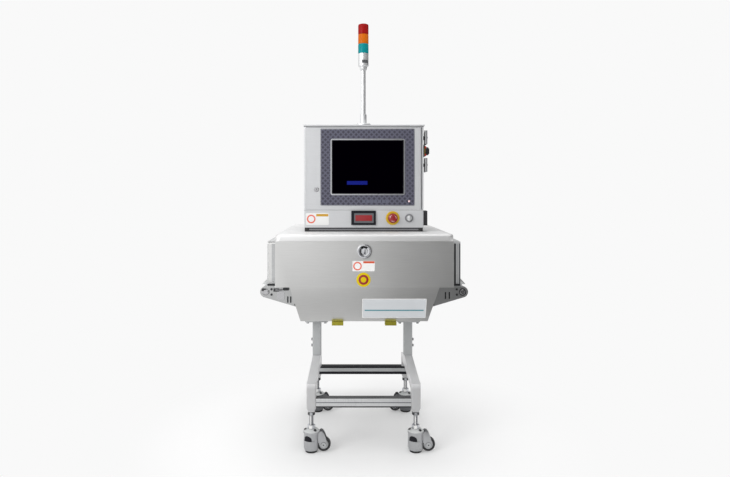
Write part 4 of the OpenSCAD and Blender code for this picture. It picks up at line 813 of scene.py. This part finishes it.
def buildHoodShading():
    h = hood
    (low, high), (a, b), wide, top = h["z"], h["faceX"], h["topY"], h["topZ"]
    for hand, sx in (("left", -1), ("right", 1)):
        # painted shade: a grey strip along each hood's rounded top edge in place of its bright reflection
        piece(hand + "_hood_top_shade", block((sx * a, -wide, top - 0.0004), (sx * b, wide, top + 0.0004), 0),
              "edge_grey")
        fins = []
        for sy, face in ((-1, "front"), (1, "rear")):
            name = f"{hand}_{face}_hood_"
            back = sy * h["finY"] - h["finThick"] / 2
            fins.append(plateOutline([(sx * x, z) for x, z in h["fin"]], h["finThick"], back))
            for kind, (xs, zs, left, right) in hoodShadeLines.items():
                hoodShadeStrip(name + kind, sx, sy, xs, zs, right if sx > 0 else left)
            # painted light and shade: the right hood gets darker lines, its own face tone and a dark fold
            # line
            if sx > 0:
                faceZ = (low, high + h["faceUp"])
                hoodShadeStrip(name + "face", sx, sy, h["faceX"], faceZ, "right_hood_face_shading", h["faceY"])
                hoodShadeStrip(name + "fold", sx, sy, h["foldX"], h["z"], "plinth_strip")
        piece(hand + "_hood_fins", fins, "hub_grey")


plateParts = {"backY": 0.3470, "slotX": (0.328, 0.358), "slotZ": (0.670, 0.704), "lockX": (-0.359, -0.328),
              "stopX": (-0.334, -0.308), "stopZ": (0.708, 0.721), "pairX": -0.314, "pairPitch": 0.012,
              "pairZ": (0.657, 0.684), "pairHalf": 0.003}


def buildPlateParts():
    p, y = plateParts, -conveyor["plateY"]
    (x0, x1), (z0, z1) = p["slotX"], p["slotZ"]
    # painted shade: dark backs behind the end plates' slots
    backs = [block((sx * x0, sy * p["backY"], z0), (sx * x1, sy * (p["backY"] - 0.001), z1), 0)
             for sx, sy in sides]
    piece("slot_shade_backs", backs, "shadow_gap")
    flatPlate("belt_lock_plate", p["lockX"], p["slotZ"], y, "bolt_steel", "root", 0.002, 0.0015)
    flatPlate("belt_stop", p["stopX"], p["stopZ"], y, "dark_metal", "root", 0.006, 0.003)
    # painted shade: two thin dark plates drawn as slots
    for k in range(2):
        x = p["pairX"] + k * p["pairPitch"]
        flatPlate(f"plate_slot_shade_{k}", (x - p["pairHalf"], x + p["pairHalf"]), p["pairZ"], y, "shadow_gap",
                  "root", 0.0029, 0.0003)


lacing = {"x": 0.020, "stagger": 0.0025, "y": -0.245, "pitch": 0.0055, "z": 0.72405, "lean": 30, "count": 90,
          "size": (0.006, 0.0012, 0.0004)}


def buildBelt():
    # stitched joint across the belt
    s = lacing
    seam = [((s["x"] + s["stagger"] * (k % 2), s["y"] + s["pitch"] * k, s["z"]),
             (0, 0, math.radians(s["lean"] if k % 2 else -s["lean"]))) for k in range(s["count"])]
    repeatedBars("belt_lacing", seam, s["size"], "grey_ink")


stand = {"barY": 0.240, "barX": 0.203, "faceOff": 0.0190, "midLineZ": (0.2126, 0.2160),
         "edgeY": (0.2588, 0.2594), "edgeZ": 0.1937, "frontEdgeTop": 0.1990, "rearEdgeTop": 0.1964,
         "stripHalf": 0.0172, "stripZ": (0.2315, 0.1935), "rearX": 0.2438, "rearY": (0.2172, 0.2236),
         "rearZ": (0.1937, 0.2318), "bandZ": ((0.2240, 0.2322), (0.1934, 0.2065)), "weld": (0.2038, 0.2125),
         "weldHalf": 0.0192, "weldR": 0.0011, "weldSwell": 0.18, "weldSides": 6}


def buildStand():
    s, wide, low = stand, stand["barX"], stand["edgeZ"]
    # a thin dark line along the middle of each bar's front and back face
    midLines = []
    for sy, face in sides:
        y = sy * s["barY"] + face * s["faceOff"]
        midLines.append(block((-wide, y - 0.0003, s["midLineZ"][0]), (wide, y + 0.0003, s["midLineZ"][1]), 0))
    piece("crossbar_mid_lines", midLines, "grey_ink")
    # painted shade: dark strips along the bars' lower edges
    near, far = s["edgeY"]
    piece("crossbar_lower_edge_shade", [block((-wide, -far, low), (wide, -near, s["frontEdgeTop"]), 0),
                                   block((-wide, near, low), (wide, far, s["rearEdgeTop"]), 0)], "dark_metal")
    # painted reflection along each bar's top edge and painted shade along its bottom edge, darker on the rear
    # bar
    for name, sy, material in (("front", -1, "dark_metal"), ("rear", 1, "lamp_frame")):
        y, out = sy * s["barY"], s["stripHalf"]
        piece(name + "_crossbar_painted_edges", [block((-wide - 0.0005, y - out, z - 0.0004),
                                                (wide + 0.0005, y + out, z + 0.0004), 0.0002, 1)
                                          for z in s["stripZ"]], material)
    # painted shade: the rear bar's front face and bands in darker finishes
    (y0, y1), (z0, z1), x = s["rearY"], s["rearZ"], s["rearX"]
    piece("rear_crossbar_shaded_face", block((-x, y0, z0), (x, y1, z1), 0.0006), "sleeve_steel")
    piece("rear_crossbar_shade_bands", [block((-x - 0.0002, y0 - 0.0006, a), (x + 0.0002, y1 + 0.0002, b), 0)
                                  for a, b in s["bandZ"]], "lamp_frame")
    piece("crossbar_welds", [weldLoop((sx * s["weld"][0], sy * s["barY"], s["weld"][1])) for sx, sy in sides],
          "stand_steel")


def weldLoop(centre):
    # a fine bead round a square joint that faces along X
    s, count = stand, stand["weldSides"]
    bm = bmesh.new()
    rings = []
    for k, (y, z) in enumerate(roundedRect(0, 0, 2 * s["weldHalf"], 2 * s["weldHalf"], 0.006, 4)):
        out = Vector((0, y, z)).normalized()
        swell = s["weldR"] * (1 + s["weldSwell"] * math.sin(k * 2.1))
        start = Vector(centre) + Vector((0, y, z))
        ways = [onRing(0, 0, swell, 360 * j / count) for j in range(count)]
        rings.append([bm.verts.new(start + out * along + Vector((lift, 0, 0))) for along, lift in ways])
    bridge(bm, rings + rings[:1], True)
    return bm


caster = {
    "x": 0.224, "y": 0.240, "offset": 0.053, "axleZ": 0.033, "domeZ": 0.0864, "screws": 3, "screwR": 0.0265,
    "screwZ": 0.0966, "screwStart": -50, "armY": 0.0162, "capY": 0.0186, "ringY": 0.0188, "grips": 24,
    "gripR": 0.0196,
    "dome": [(0.0145, 0), (0.0344, 0), (0.0350, 0.0006), (0.0350, 0.0022), (0.0342, 0.0034), (0.0300, 0.0070),
             (0.0245, 0.0102), (0.0185, 0.0126), (0.0145, 0.0130)],
    "brimShade": [(0.0318, 0.0818), (0.0333, 0.0818), (0.0333, 0.0863), (0.0318, 0.0863)],
    "axleRing": [(0.0106, -0.0005), (0.0124, -0.0005), (0.0124, 0.0005), (0.0106, 0.0005)],
    "tyre": [(0.0205, -0.009), (0.0225, -0.0106), (0.0262, -0.011), (0.0291, -0.0092), (0.030, -0.006)],
    "hub": [(0.0041, -0.0105), (0.0100, -0.0105), (0.0108, -0.0096), (0.0112, -0.0068), (0.0190, -0.0056),
            (0.0206, -0.0085)],
    "foot": [(0, 0), (0.0245, 0), (0.0258, 0.0010), (0.0260, 0.0030), (0.0252, 0.0062), (0.0225, 0.0088),
             (0.0080, 0.0090), (0.0060, 0.0098), (0.0060, 0.0340), (0.0190, 0.0342), (0.0198, 0.0350),
             (0.0198, 0.0450), (0.0190, 0.0460), (0.0060, 0.0460), (0.0060, 0.0695), (0, 0.0700)],
    "arm": [(0.0325, 0.0835), (0.0365, 0.0890), (0.0420, 0.0912), (0.0485, 0.0890), (0.0560, 0.0785),
            (0.0640, 0.0580)],
    "armEnd": (0.0318, 0.0480), "armR": 0.0165, "armThick": 0.0024, "armStart": 24, "armSweep": 204,
    "armSteps": 20}
cup = {"lowZ": 0.0125, "topZ": 0.0815, "r": 0.0322, "wideR": 0.0334, "stepZ": 0.050, "step": 0.006,
       "footIn": 0.0030, "windowTurn": -118, "windowHalf": 0.0192, "windowZ": (0.0515, 0.0748),
       "windowMid": 0.3, "slotTurn": 25, "slotZ": 0.0665, "insideR": 0.0318, "insideZ": (0.0365, 0.0780),
       "insideHalf": 42, "insideSteps": 14}


def casterPlace(name):
    sx = -1 if "left" in name else 1
    sy = -1 if "front" in name else 1
    return sx * caster["x"], sy * caster["y"], -1 if name == "rear_right" else 1


def cupRadius(z):
    c = cup
    if z < c["lowZ"] + c["step"]:
        return c["wideR"] - c["footIn"] * (1 - (z - c["lowZ"]) / c["step"])
    return c["wideR"] + (c["r"] - c["wideR"]) * min(1, max(0, (z - c["stepZ"]) / c["step"]))


def cupSkin(x, y, way, columns=90, rows=46):
    # the housing's outside: left open at the window and where the wheel passes
    c = cup
    start = 0 if way > 0 else 180
    low, high = c["windowZ"]
    mid = low + c["windowMid"] * (high - low)
    bm = bmesh.new()
    grid = []
    for j in range(rows + 1):
        z = c["lowZ"] + (c["topZ"] - c["lowZ"]) * j / rows
        grid.append([bm.verts.new((*onRing(x, y, cupRadius(z), start + 360 * k / columns), z))
                     for k in range(columns)])
    for j in range(rows):
        z = c["lowZ"] + (c["topZ"] - c["lowZ"]) * (j + 0.5) / rows
        for k in range(columns):
            turn = (360 * (k + 0.5) / columns + 180) % 360 - 180
            along = math.radians((turn - c["windowTurn"] + 180) % 360 - 180) * c["r"] / c["windowHalf"]
            up = max(0, (z - mid) / (high - mid))
            inWindow = low < z < high and along ** 2 + up ** 2 < 1
            if inWindow or abs(turn) < c["slotTurn"] and z < c["slotZ"]:
                continue
            n = (k + 1) % columns
            bm.faces.new((grid[j][k], grid[j][n], grid[j + 1][n], grid[j + 1][k]))
    bmesh.ops.delete(bm, geom=[v for v in bm.verts if not v.link_faces], context="VERTS")
    return bm


# painted shade: a dark sheet inside the housing behind the window, so the window reads black
def cupWindowShade(x, y, way):
    c = cup
    start = (0 if way > 0 else 180) + c["windowTurn"] + c["insideHalf"]
    rows = []
    for k in range(c["insideSteps"] + 1):
        px, py = onRing(x, y, c["insideR"], start - 2 * c["insideHalf"] * k / c["insideSteps"])
        rows.append([(px, py, z) for z in c["insideZ"]])
    return sheetOf(rows, 0)


def forkArm(x, y, way, side):
    # a tapered cheek with a round end about the axle
    c = caster
    end = [onRing(c["offset"], c["axleZ"], c["armR"], c["armStart"] - c["armSweep"] * k / c["armSteps"])
           for k in range(c["armSteps"] + 1)]
    depth = c["armThick"] * side
    bm = plateOutline([(x + way * px, pz) for px, pz in c["arm"] + end + [c["armEnd"]]], depth, y)
    bmesh.ops.recalc_face_normals(bm, faces=bm.faces)
    edges = [e for e in bm.edges if all(abs(v.co.y - y - depth) < 1e-5 for v in e.verts)]
    bmesh.ops.bevel(bm, geom=edges, offset=0.0008, segments=2, profile=0.6, affect="EDGES")
    return bm


def mirrored(profile):
    # the same profile back again on the other side of the middle
    return profile + [(r, -along) for r, along in profile[::-1]]


def buildCasters():
    c = caster
    for name in corners:
        x, y, way = casterPlace(name)
        body, foot, wheel = name + "_caster", name + "_foot", name + "_wheel"
        axleX, z = x + way * c["offset"], c["axleZ"]
        hub = (axleX, y, z)
        dressed(body, 0.0010)
        piece(name + "_dome", turned(c["dome"], (x, y, c["domeZ"]), "z"), "hub_grey", body, "caster_zinc")
        # painted shade: a dark ring under the top plate's brim
        piece(name + "_brim_shade", turned(c["brimShade"], (x, y, 0), "z"), "grey_ink", body)
        spots = []
        for turn in [c["screwStart"] + 360 / c["screws"] * k for k in range(c["screws"])]:
            spots.append(((*onRing(x, y, c["screwR"], turn), c["screwZ"]), (*onRing(0, 0, 0.4, turn), 0.9)))
        fasteners(name + "_dome_screws", spots, 0.0062, 0.0016, 0.62, "dark_metal", body)
        piece(name + "_skin", cupSkin(x, y, way), "caster_zinc", body, "caster_zinc")
        piece(name + "_inside", cupWindowShade(x, y, way), "lamp_frame", body)
        piece(name + "_fork_arms", [forkArm(x, y + s * c["armY"], way, s) for s in (-1, 1)], "caster_zinc",
              body, "caster_zinc")
        fasteners(name + "_axle_caps", [((axleX, y + s * c["capY"], z), (0, s, 0)) for s in (-1, 1)], 0.0110,
                  0.0026, 0.3, "sleeve_steel", body)
        piece(name + "_axle_rings", [turned(c["axleRing"], (axleX, y + s * c["ringY"], z)) for s in (-1, 1)],
              "grey_ink", body)
        piece(name + "_tyre", turned(mirrored(c["tyre"]), hub), "wheel_rubber", wheel, "wheel_rubber",
              [wheel])
        piece(name + "_hub", turned(mirrored(c["hub"]), hub), "hub_grey", wheel)
        piece(name + "_pad", turned(c["foot"], (x, y, 0), "z"), "foot_rubber", foot, "foot_rubber", [foot])
        grips = [((*onRing(x, y, c["gripR"], turn), 0.040), (0, 0, math.radians(turn)))
                 for turn in [360 / c["grips"] * k for k in range(c["grips"])]]
        repeatedBars(name + "_adjuster_grips", grips, (0.0008, 0.0022, 0.0085), "dark_ink", foot)


stems = {
    "rod": [(0, 0.0768), (0.0138, 0.0768), (0.0138, 0.0816), (0.0088, 0.0818), (0.0088, 0.0893),
            (0.0134, 0.0895), (0.0139, 0.0900), (0.0139, 0.0926), (0.0132, 0.0933), (0.0088, 0.0935),
            (0.0088, 0.1875), (0, 0.1880)],
    "lower": [(0.0089, 0.1000), (0.0150, 0.1000), (0.0165, 0.1012), (0.0165, 0.1150), (0.0150, 0.1162),
              (0.0089, 0.1162)],
    "upper": [(0.0089, 0.1572), (0.0148, 0.1572), (0.0159, 0.1584), (0.0159, 0.1702), (0.0148, 0.1714),
              (0.0089, 0.1714)],
    "thread": [(0.0087, 0), (0.0089, 0.0006), (0.0089, 0.0011), (0.0087, 0.0017)], "threadZ": 0.1184,
    "pitch": 0.0025, "threads": 15, "nutGlint": ((-0.0060, -0.0162, 0.1584), (0.0055, -0.0150, 0.1702)),
    # glints: painted highlights, white strips down the front of the rod and the lower nut
    "glints": [((-0.0046, -0.0095, 0.1166), (-0.0002, -0.0086, 0.1568), 0, 2),
               ((-0.0098, -0.0172, 0.1010), (0.0040, -0.0140, 0.1152), 0.0006, 1)]}


def buildStems():
    s = stems
    parts, nuts, bright, glints = [], [], [], []
    for sx, sy in sides:
        x, y = sx * caster["x"], sy * caster["y"]
        at = Vector((x, y, 0))
        parts.append(turned(s["rod"], at, "z", 40))
        bright.append(turned(s["lower"], at, "z", 6))
        nuts.append(turned(s["upper"], at, "z", 12))
        # painted highlight: a bright flat block on the front of each dark lock nut
        a, b = s["nutGlint"]
        bright.append(block(at + Vector(a), at + Vector(b), 0.0003, 1))
        glints += [block(at + Vector(a), at + Vector(b), r, segments) for a, b, r, segments in s["glints"]]
        parts += [turned(s["thread"], (x, y, s["threadZ"] + s["pitch"] * k), "z", 32)
                  for k in range(s["threads"])]
    piece("caster_stems_threaded", parts, "stem_chrome", "root", "bolt_steel", ["caster_stems"])
    piece("caster_lock_nuts", nuts, "dark_metal")
    piece("caster_stem_nuts_and_glints", bright, "screen_rim")
    piece("caster_stem_glints", glints, "enamel_white")


# signal tower

tower = {"y": -0.200, "footZ": 1.396, "poleR": 0.010, "poleTop": 1.646, "sleeveR": 0.014, "sleeveH": 0.056,
         "flangeR": 0.032, "flangeT": 0.014, "lensR": 0.0225, "lensH": 0.0415, "baseTop": 1.717,
         "collarTop": 1.661, "steps": 56, "ribs": 40, "screwX": 0.0228, "plateZ": (1.6735, 1.6870),
         "plateStart": -108, "plateStep": 9.5, "plateSteps": 8}


def buildTower():
    t = tower
    r, foot, collar, baseTop, poleTop = t["lensR"], t["footZ"], t["collarTop"], t["baseTop"], t["poleTop"]
    flange, sleeve, poleR = t["flangeR"], t["sleeveR"], t["poleR"]
    deck, sleeveTop = foot + t["flangeT"], foot + t["sleeveH"]

    def column(name, profile, material, *rest):
        piece(name, turned(profile, (0, t["y"], 0), "z", t["steps"]), material, "root", *rest)

    column("tower_pole", [(0, foot), (flange - 0.001, foot), (flange, foot + 0.001), (flange, deck - 0.001),
                          (flange - 0.001, deck), (sleeve + 0.001, deck + 0.0002), (sleeve, deck + 0.0014),
                          (sleeve, sleeveTop - 0.001), (sleeve - 0.001, sleeveTop),
                          (poleR, sleeveTop + 0.0004), (poleR, poleTop), (0, poleTop + 0.001)], "tower_parts",
           "tower_parts", ["signal_tower"])
    column("tower_base", [(0, poleTop - 0.002), (0.0125, poleTop - 0.002), (0.0150, poleTop + 0.001),
                          (0.0155, poleTop + 0.010), (0.0165, collar - 0.0015), (r - 0.0012, collar),
                          (r, collar + 0.0014), (r, collar + 0.044), (r - 0.0005, collar + 0.0444),
                          (r - 0.0005, collar + 0.0454), (r, collar + 0.0458), (r, baseTop - 0.0008),
                          (r - 0.0008, baseTop), (0, baseTop)], "tower_parts", "tower_parts")
    for k, (name, colour) in enumerate((("lens_lower", "lens_teal"), ("lens_middle", "lens_amber"),
                                        ("lens_upper", "lens_red"))):
        z0 = baseTop + k * t["lensH"]
        z1 = z0 + t["lensH"]
        column(name, [(0, z0), (r - 0.0010, z0), (r - 0.0010, z0 + 0.0012), (r, z0 + 0.0016),
                      (r, z1 - 0.0030), (r - 0.0006, z1 - 0.0022), (r - 0.0006, z1 - 0.0002),
                      (0, z1 - 0.0001)], colour)
        ribs = [((*onRing(0, t["y"], r - 0.0001, turn), (z0 + z1) / 2 - 0.0006), (0, 0, math.radians(turn)))
                for turn in [360 * j / t["ribs"] for j in range(t["ribs"])]]
        repeatedBars(name + "_ribs", ribs, (0.0004, 0.0016, t["lensH"] - 0.0060), colour)
    top = baseTop + 3 * t["lensH"]
    column("tower_cap", [(0, top - 0.0001), (r - 0.0004, top - 0.0001), (r - 0.0008, top + 0.0012),
                         (r - 0.004, top + 0.0030), (0, top + 0.0040)], "lens_red")
    fasteners("tower_flange_screws", [((s * t["screwX"], t["y"], deck), (0, 0, 1)) for s in (-1, 1)], 0.0045,
              0.0028)
    rows = []
    for k in range(t["plateSteps"], -1, -1):
        x, y = onRing(0, t["y"], r + 0.0002, t["plateStart"] + t["plateStep"] * k)
        rows.append([(x, y, z) for z in t["plateZ"]])
    piece("tower_plate", sheetOf(rows, 0.0003), "plinth_strip")


# right side of the cabinet, and the rear

side = {"y": -0.250, "switchZ": 1.288, "plates": (("upper", 1.344), ("lower", 1.228)), "screwY": 0.030,
        "baseOff": 0.020, "flagY": 0.012, "flagZ": 0.0165, "flag": (0.0100, 0.0070, 0.0090), "portY": 0.018,
        "portZ": 0.016, "portMid": 1.003, "port": (0.0012, 0.020, 0.012),
        "dial": [(0.019, 0), (0.0235, 0), (0.0235, 0.0016), (0.019, 0.0016)], "face": (0.0130, 0.0164),
        "faceY": 0.043, "faceZ": 0.029, "rimY": (-0.0456, -0.0446), "rimZ": 0.0285,
        "rims": ((0.0035, 0.0085, "dark_metal"), (0.0085, 0.0104, "edge_grey"),
                 (0.0104, 0.0150, "plinth_strip"), (0.0150, 0.0164, "dark_metal"))}


def buildSide():
    s, x, y, z = side, cabinet["x"], side["y"], side["switchZ"]
    dressed("main_switch", 0.0010, 2, "dark_metal")
    piece("switch_grip", block((x + 0.0150, y - 0.007, z - 0.0125), (x + 0.0300, y + 0.007, z + 0.0125),
                               0.0030, 3), "dark_ink", "main_switch", "switch_red")
    flags = [((x + 0.0105, y + s["flagY"] * a, z + s["flagZ"] * b), unturned) for a, b in sides]
    repeatedBars("switch_flags", flags, s["flag"], "switch_red", "main_switch")
    piece("switch_dial", turned(s["dial"], (x + 0.0081, y, z), "x"), "stop_yellow")
    fasteners("side_plate_screws", [((x + 0.016, y + a * s["screwY"], at), (1, 0, 0))
                                    for name, at in s["plates"] for a in (-1, 1)], 0.0052, 0.0030)
    fasteners("switch_base_screws", [((x + 0.008, y + a * s["baseOff"], z + b * s["baseOff"]), (1, 0, 0))
                                     for a, b in sides], 0.0022, 0.0010)
    sockets = [((x + 0.0181, y + a * s["portY"], s["portMid"] + b * s["portZ"]), unturned) for a, b in sides]
    repeatedBars("port_sockets", sockets, s["port"], "grey_ink")
    for name, z in s["plates"]:
        (x0, x1), wide, tall, high = s["face"], s["faceY"], s["faceZ"], s["rimZ"]
        piece(name + "_side_plate_face", block((x + x0, y - wide, z - tall), (x + x1, y + wide, z + tall)),
              "sleeve_steel")
        # the innermost dark rim is painted shade in the gap behind the plate
        for k, (a, b, material) in enumerate(s["rims"]):
            strip = block((x + a, y + s["rimY"][0], z - high), (x + b, y + s["rimY"][1], z + high), 0)
            piece(f"{name}_side_plate_face_rim_{k}", strip, material)


rear = {"y": 0.440, "coverY": 0.420, "fanZ": 0.830, "slats": 6, "slatPitch": 0.020, "slatLow": -0.0500,
        "slatTurn": -28, "slat": (0.130, 0.0016, 0.010), "fanScrew": 0.068,
        "screws": ((0.340, 0.900), (0.340, 0.748), (0.180, 0.900)),
        "gland": [(0.0095, 0.0), (0.0150, 0.0), (0.0150, 0.006), (0.0138, 0.007), (0.0128, 0.016),
                  (0.0095, 0.018)],
        "glandAt": (0.180, 0.1002, 1.010)}


def buildRear():
    e, y, z = rear, rear["y"], rear["fanZ"]
    slats = [((0, y - 0.0035, z + e["slatLow"] + e["slatPitch"] * k), (math.radians(e["slatTurn"]), 0, 0))
             for k in range(e["slats"])]
    repeatedBars("fan_slats", slats, e["slat"], "dark_plastic")
    fasteners("fan_screws", [((sx * e["fanScrew"], y, z + sz * e["fanScrew"]), (0, 1, 0))
                             for sx, sz in sides], 0.0042, 0.0018)
    fasteners("rear_cover_screws", [((sx * x, e["coverY"], at), (0, 1, 0))
                                    for sx in (-1, 1) for x, at in e["screws"]], 0.0060, 0.0030)
    gland = turned(e["gland"], unturned, "y", 12)
    gland.transform(Matrix.Translation(e["glandAt"]) @ Matrix.Rotation(math.pi, 4, "Z"))
    piece("inlet_gland", gland, "dark_plastic")


for build in (buildMonitor, buildCamLock, buildControls, buildCabinetTrim):
    build()
print("cabinet done")
for build in (buildConveyorEnds, buildHoodShading, buildPlateParts, buildBelt, buildStand):
    build()
print("conveyor and stand done")
buildCasters()
buildStems()
print("casters done")
for build in (buildTower, buildSide, buildRear):
    build()
print("tower, side and rear done")


# camera, floor and light

camera = {"at": (-0.056, -2.820, 1.105), "focalPx": 600, "frameW": 730, "frameH": 477, "centreX": 350.5,
          "horizonY": 194, "sensor": 36}


def buildCamera():
    c = camera
    lens = bpy.data.cameras.new("camera")
    lens.sensor_width = c["sensor"]
    lens.lens = c["sensor"] * c["focalPx"] / c["frameW"]
    lens.shift_x = (c["frameW"] / 2 - c["centreX"]) / c["frameW"]
    lens.shift_y = (c["horizonY"] - c["frameH"] / 2) / c["frameW"]
    eye = addObject("camera", lens)
    eye.location = c["at"]
    eye.rotation_euler = (math.radians(90), 0, 0)
    bpy.context.scene.camera = eye


# cards: name, grey, corners; lamps: name, place, aim, size, watts, seen by mirror rays
paper = linear(249, 249, 249)
# the shade entries set the place, size and tone of a painted shadow patch on the floor under the machine
studio = {"floorHalf": 60.0, "shadeX": (0.255, 0.35), "shadeY": (0.32, 0.47), "shadeMid": (0, 0.16, 0),
          "shadeTone": linear(234, 234, 234), "nearR": 0.42, "farR": 1.1, "nearGlow": 0.25, "ambient": 0.66,
          "cards": [("tall_card", 0.085,
                     [(0.16, -3.6, 3.4), (4.5, -3.6, 3.4), (4.5, -3.6, 0.02), (0.16, -3.6, 0.02)]),
                    ("right_floor_card", 0.17,
                     [(0.16, -3.6, 0.02), (4.5, -3.6, 0.02), (4.5, -0.58, 0.02), (0.16, -0.58, 0.02)]),
                    ("left_floor_card", 0.58,
                     [(-2.4, -2.0, 0.02), (0.16, -2.0, 0.02), (0.16, -0.58, 0.02), (-2.4, -0.58, 0.02)]),
                    ("rear_right_card", 0.14,
                     [(0.30, 4.0, 1.4), (6.0, 4.0, 1.4), (6.0, 4.0, 7.0), (0.30, 4.0, 7.0)]),
                    ("rear_left_card", 0.74,
                     [(-6.0, 2.4, 1.6), (-1.1, 4.0, 1.6), (-1.1, 4.0, 6.0), (-6.0, 2.4, 6.0)]),
                    ("gap_card", 0.10,
                     [(1.7, -3.6, 1.35), (1.7, -0.9, 1.35), (1.7, -0.9, 2.6), (1.7, -3.6, 2.6)]),
                    ("side_card", 0.06,
                     [(1.7, -0.9, 1.1), (1.7, 2.4, 1.1), (1.7, 2.4, 2.5), (1.7, -0.9, 2.5)])],
          "lamps": [("key", (-2.6, -2.6, 2.6), (0, 0, 0.8), (1.8, 2.2), 70, True),
                    ("fill", (3.0, -2.0, 1.6), (0, 0, 0.9), (1.6, 2.0), 7, True),
                    ("front", (0.3, -3.4, 1.3), (0, 0, 0.5), (1.2, 1.2), 14, False),
                    ("top", (0, 0.4, 4.2), (0, 0, 0.9), (2.6, 2.6), 46, True)]}


def paperRays(tree):
    # 1 for camera, mirror and see-through rays
    rays = grow(tree, "ShaderNodeLightPath").outputs
    seen = maths(tree, "MAXIMUM", rays["Is Camera Ray"], rays["Is Glossy Ray"])
    return maths(tree, "MAXIMUM", seen, rays["Is Transmission Ray"])


def surface(tree, kind, source):
    tree.links.new(source, grow(tree, kind).inputs["Surface"])


def clearedMaterial(name):
    m = bpy.data.materials.new(name)
    m.use_nodes = True
    m.node_tree.nodes.clear()
    return m, m.node_tree


def blend(tree, factor, first, second):
    return grow(tree, "ShaderNodeMixShader", {"Fac": factor, 1: first, 2: second}).outputs[0]


def stageSheet(name, points, material):
    bm = bmesh.new()
    bm.faces.new([bm.verts.new(p) for p in points])
    sheet = addMesh(name, bm, material)
    return sheet


def buildFloor():
    # real shadow and a painted shadow patch close to the machine, plain paper further out
    s = studio
    m, tree = clearedMaterial("paper_floor")
    soft = {"interpolation_type": "SMOOTHSTEP"}
    where = ownPlace(tree)
    moved = grow(tree, "ShaderNodeVectorMath", {0: where, 1: s["shadeMid"]},
                 operation="SUBTRACT").outputs["Vector"]
    apart = axes(tree, grow(tree, "ShaderNodeVectorMath", {0: moved}, operation="ABSOLUTE").outputs["Vector"])
    # painted shadow: a soft darker patch of the floor's colour under the machine
    paintedShadowPatch = maths(tree, "MULTIPLY", spread(tree, apart["X"], 1.0, 0.0, *s["shadeX"], **soft),
                  spread(tree, apart["Y"], 1.0, 0.0, *s["shadeY"], **soft))
    cloth = grow(tree, "ShaderNodeBsdfDiffuse", {"Color": tone(tree, paintedShadowPatch, paper, s["shadeTone"])})
    glow = grow(tree, "ShaderNodeEmission", {"Color": paper})
    reach = grow(tree, "ShaderNodeVectorMath", {0: where}, operation="LENGTH").outputs["Value"]
    fade = spread(tree, reach, s["nearGlow"], 1.0, s["nearR"], s["farR"], **soft)
    surface(tree, "ShaderNodeOutputMaterial", blend(tree, maths(tree, "MULTIPLY", paperRays(tree), fade),
                                                    cloth.outputs[0], glow.outputs[0]))
    half = s["floorHalf"]
    stageSheet("studio_floor", ((-half, -half, 0), (half, -half, 0), (half, half, 0), (-half, half, 0)), m)


def buildCards():
    # grey cards seen by mirror rays alone: they shade the steel to the right and the door's lower half
    for name, grey, points in studio["cards"]:
        m, tree = clearedMaterial(name)
        plain = grow(tree, "ShaderNodeEmission", {"Color": (grey, grey, grey, 1)})
        surface(tree, "ShaderNodeOutputMaterial", plain.outputs[0])
        card = stageSheet(name, points, m)
        card.visible_camera = card.visible_diffuse = card.visible_shadow = card.visible_transmission = False


def buildWorld():
    world = bpy.data.worlds.new("studio")
    bpy.context.scene.world = world
    world.use_nodes = True
    tree = world.node_tree
    tree.nodes.clear()
    softSky = grow(tree, "ShaderNodeBackground", {"Color": (1, 1, 1, 1), "Strength": studio["ambient"]})
    seenSky = grow(tree, "ShaderNodeBackground", {"Color": paper})
    surface(tree, "ShaderNodeOutputWorld",
            blend(tree, paperRays(tree), softSky.outputs[0], seenSky.outputs[0]))


def buildLamps():
    for name, place, aim, size, watts, mirrored in studio["lamps"]:
        light = bpy.data.lights.new(name, "AREA")
        light.shape = "RECTANGLE"
        light.size, light.size_y = size
        light.energy = watts
        lamp = addObject(name, light)
        lamp.location = place
        lamp.visible_glossy = mirrored
        lamp.rotation_euler = (Vector(aim) - Vector(place)).to_track_quat("-Z", "Y").to_euler()


for build in (buildCamera, buildFloor, buildCards, buildWorld, buildLamps):
    build()
bpy.context.scene.view_settings.view_transform = "Standard"
print("studio ready")
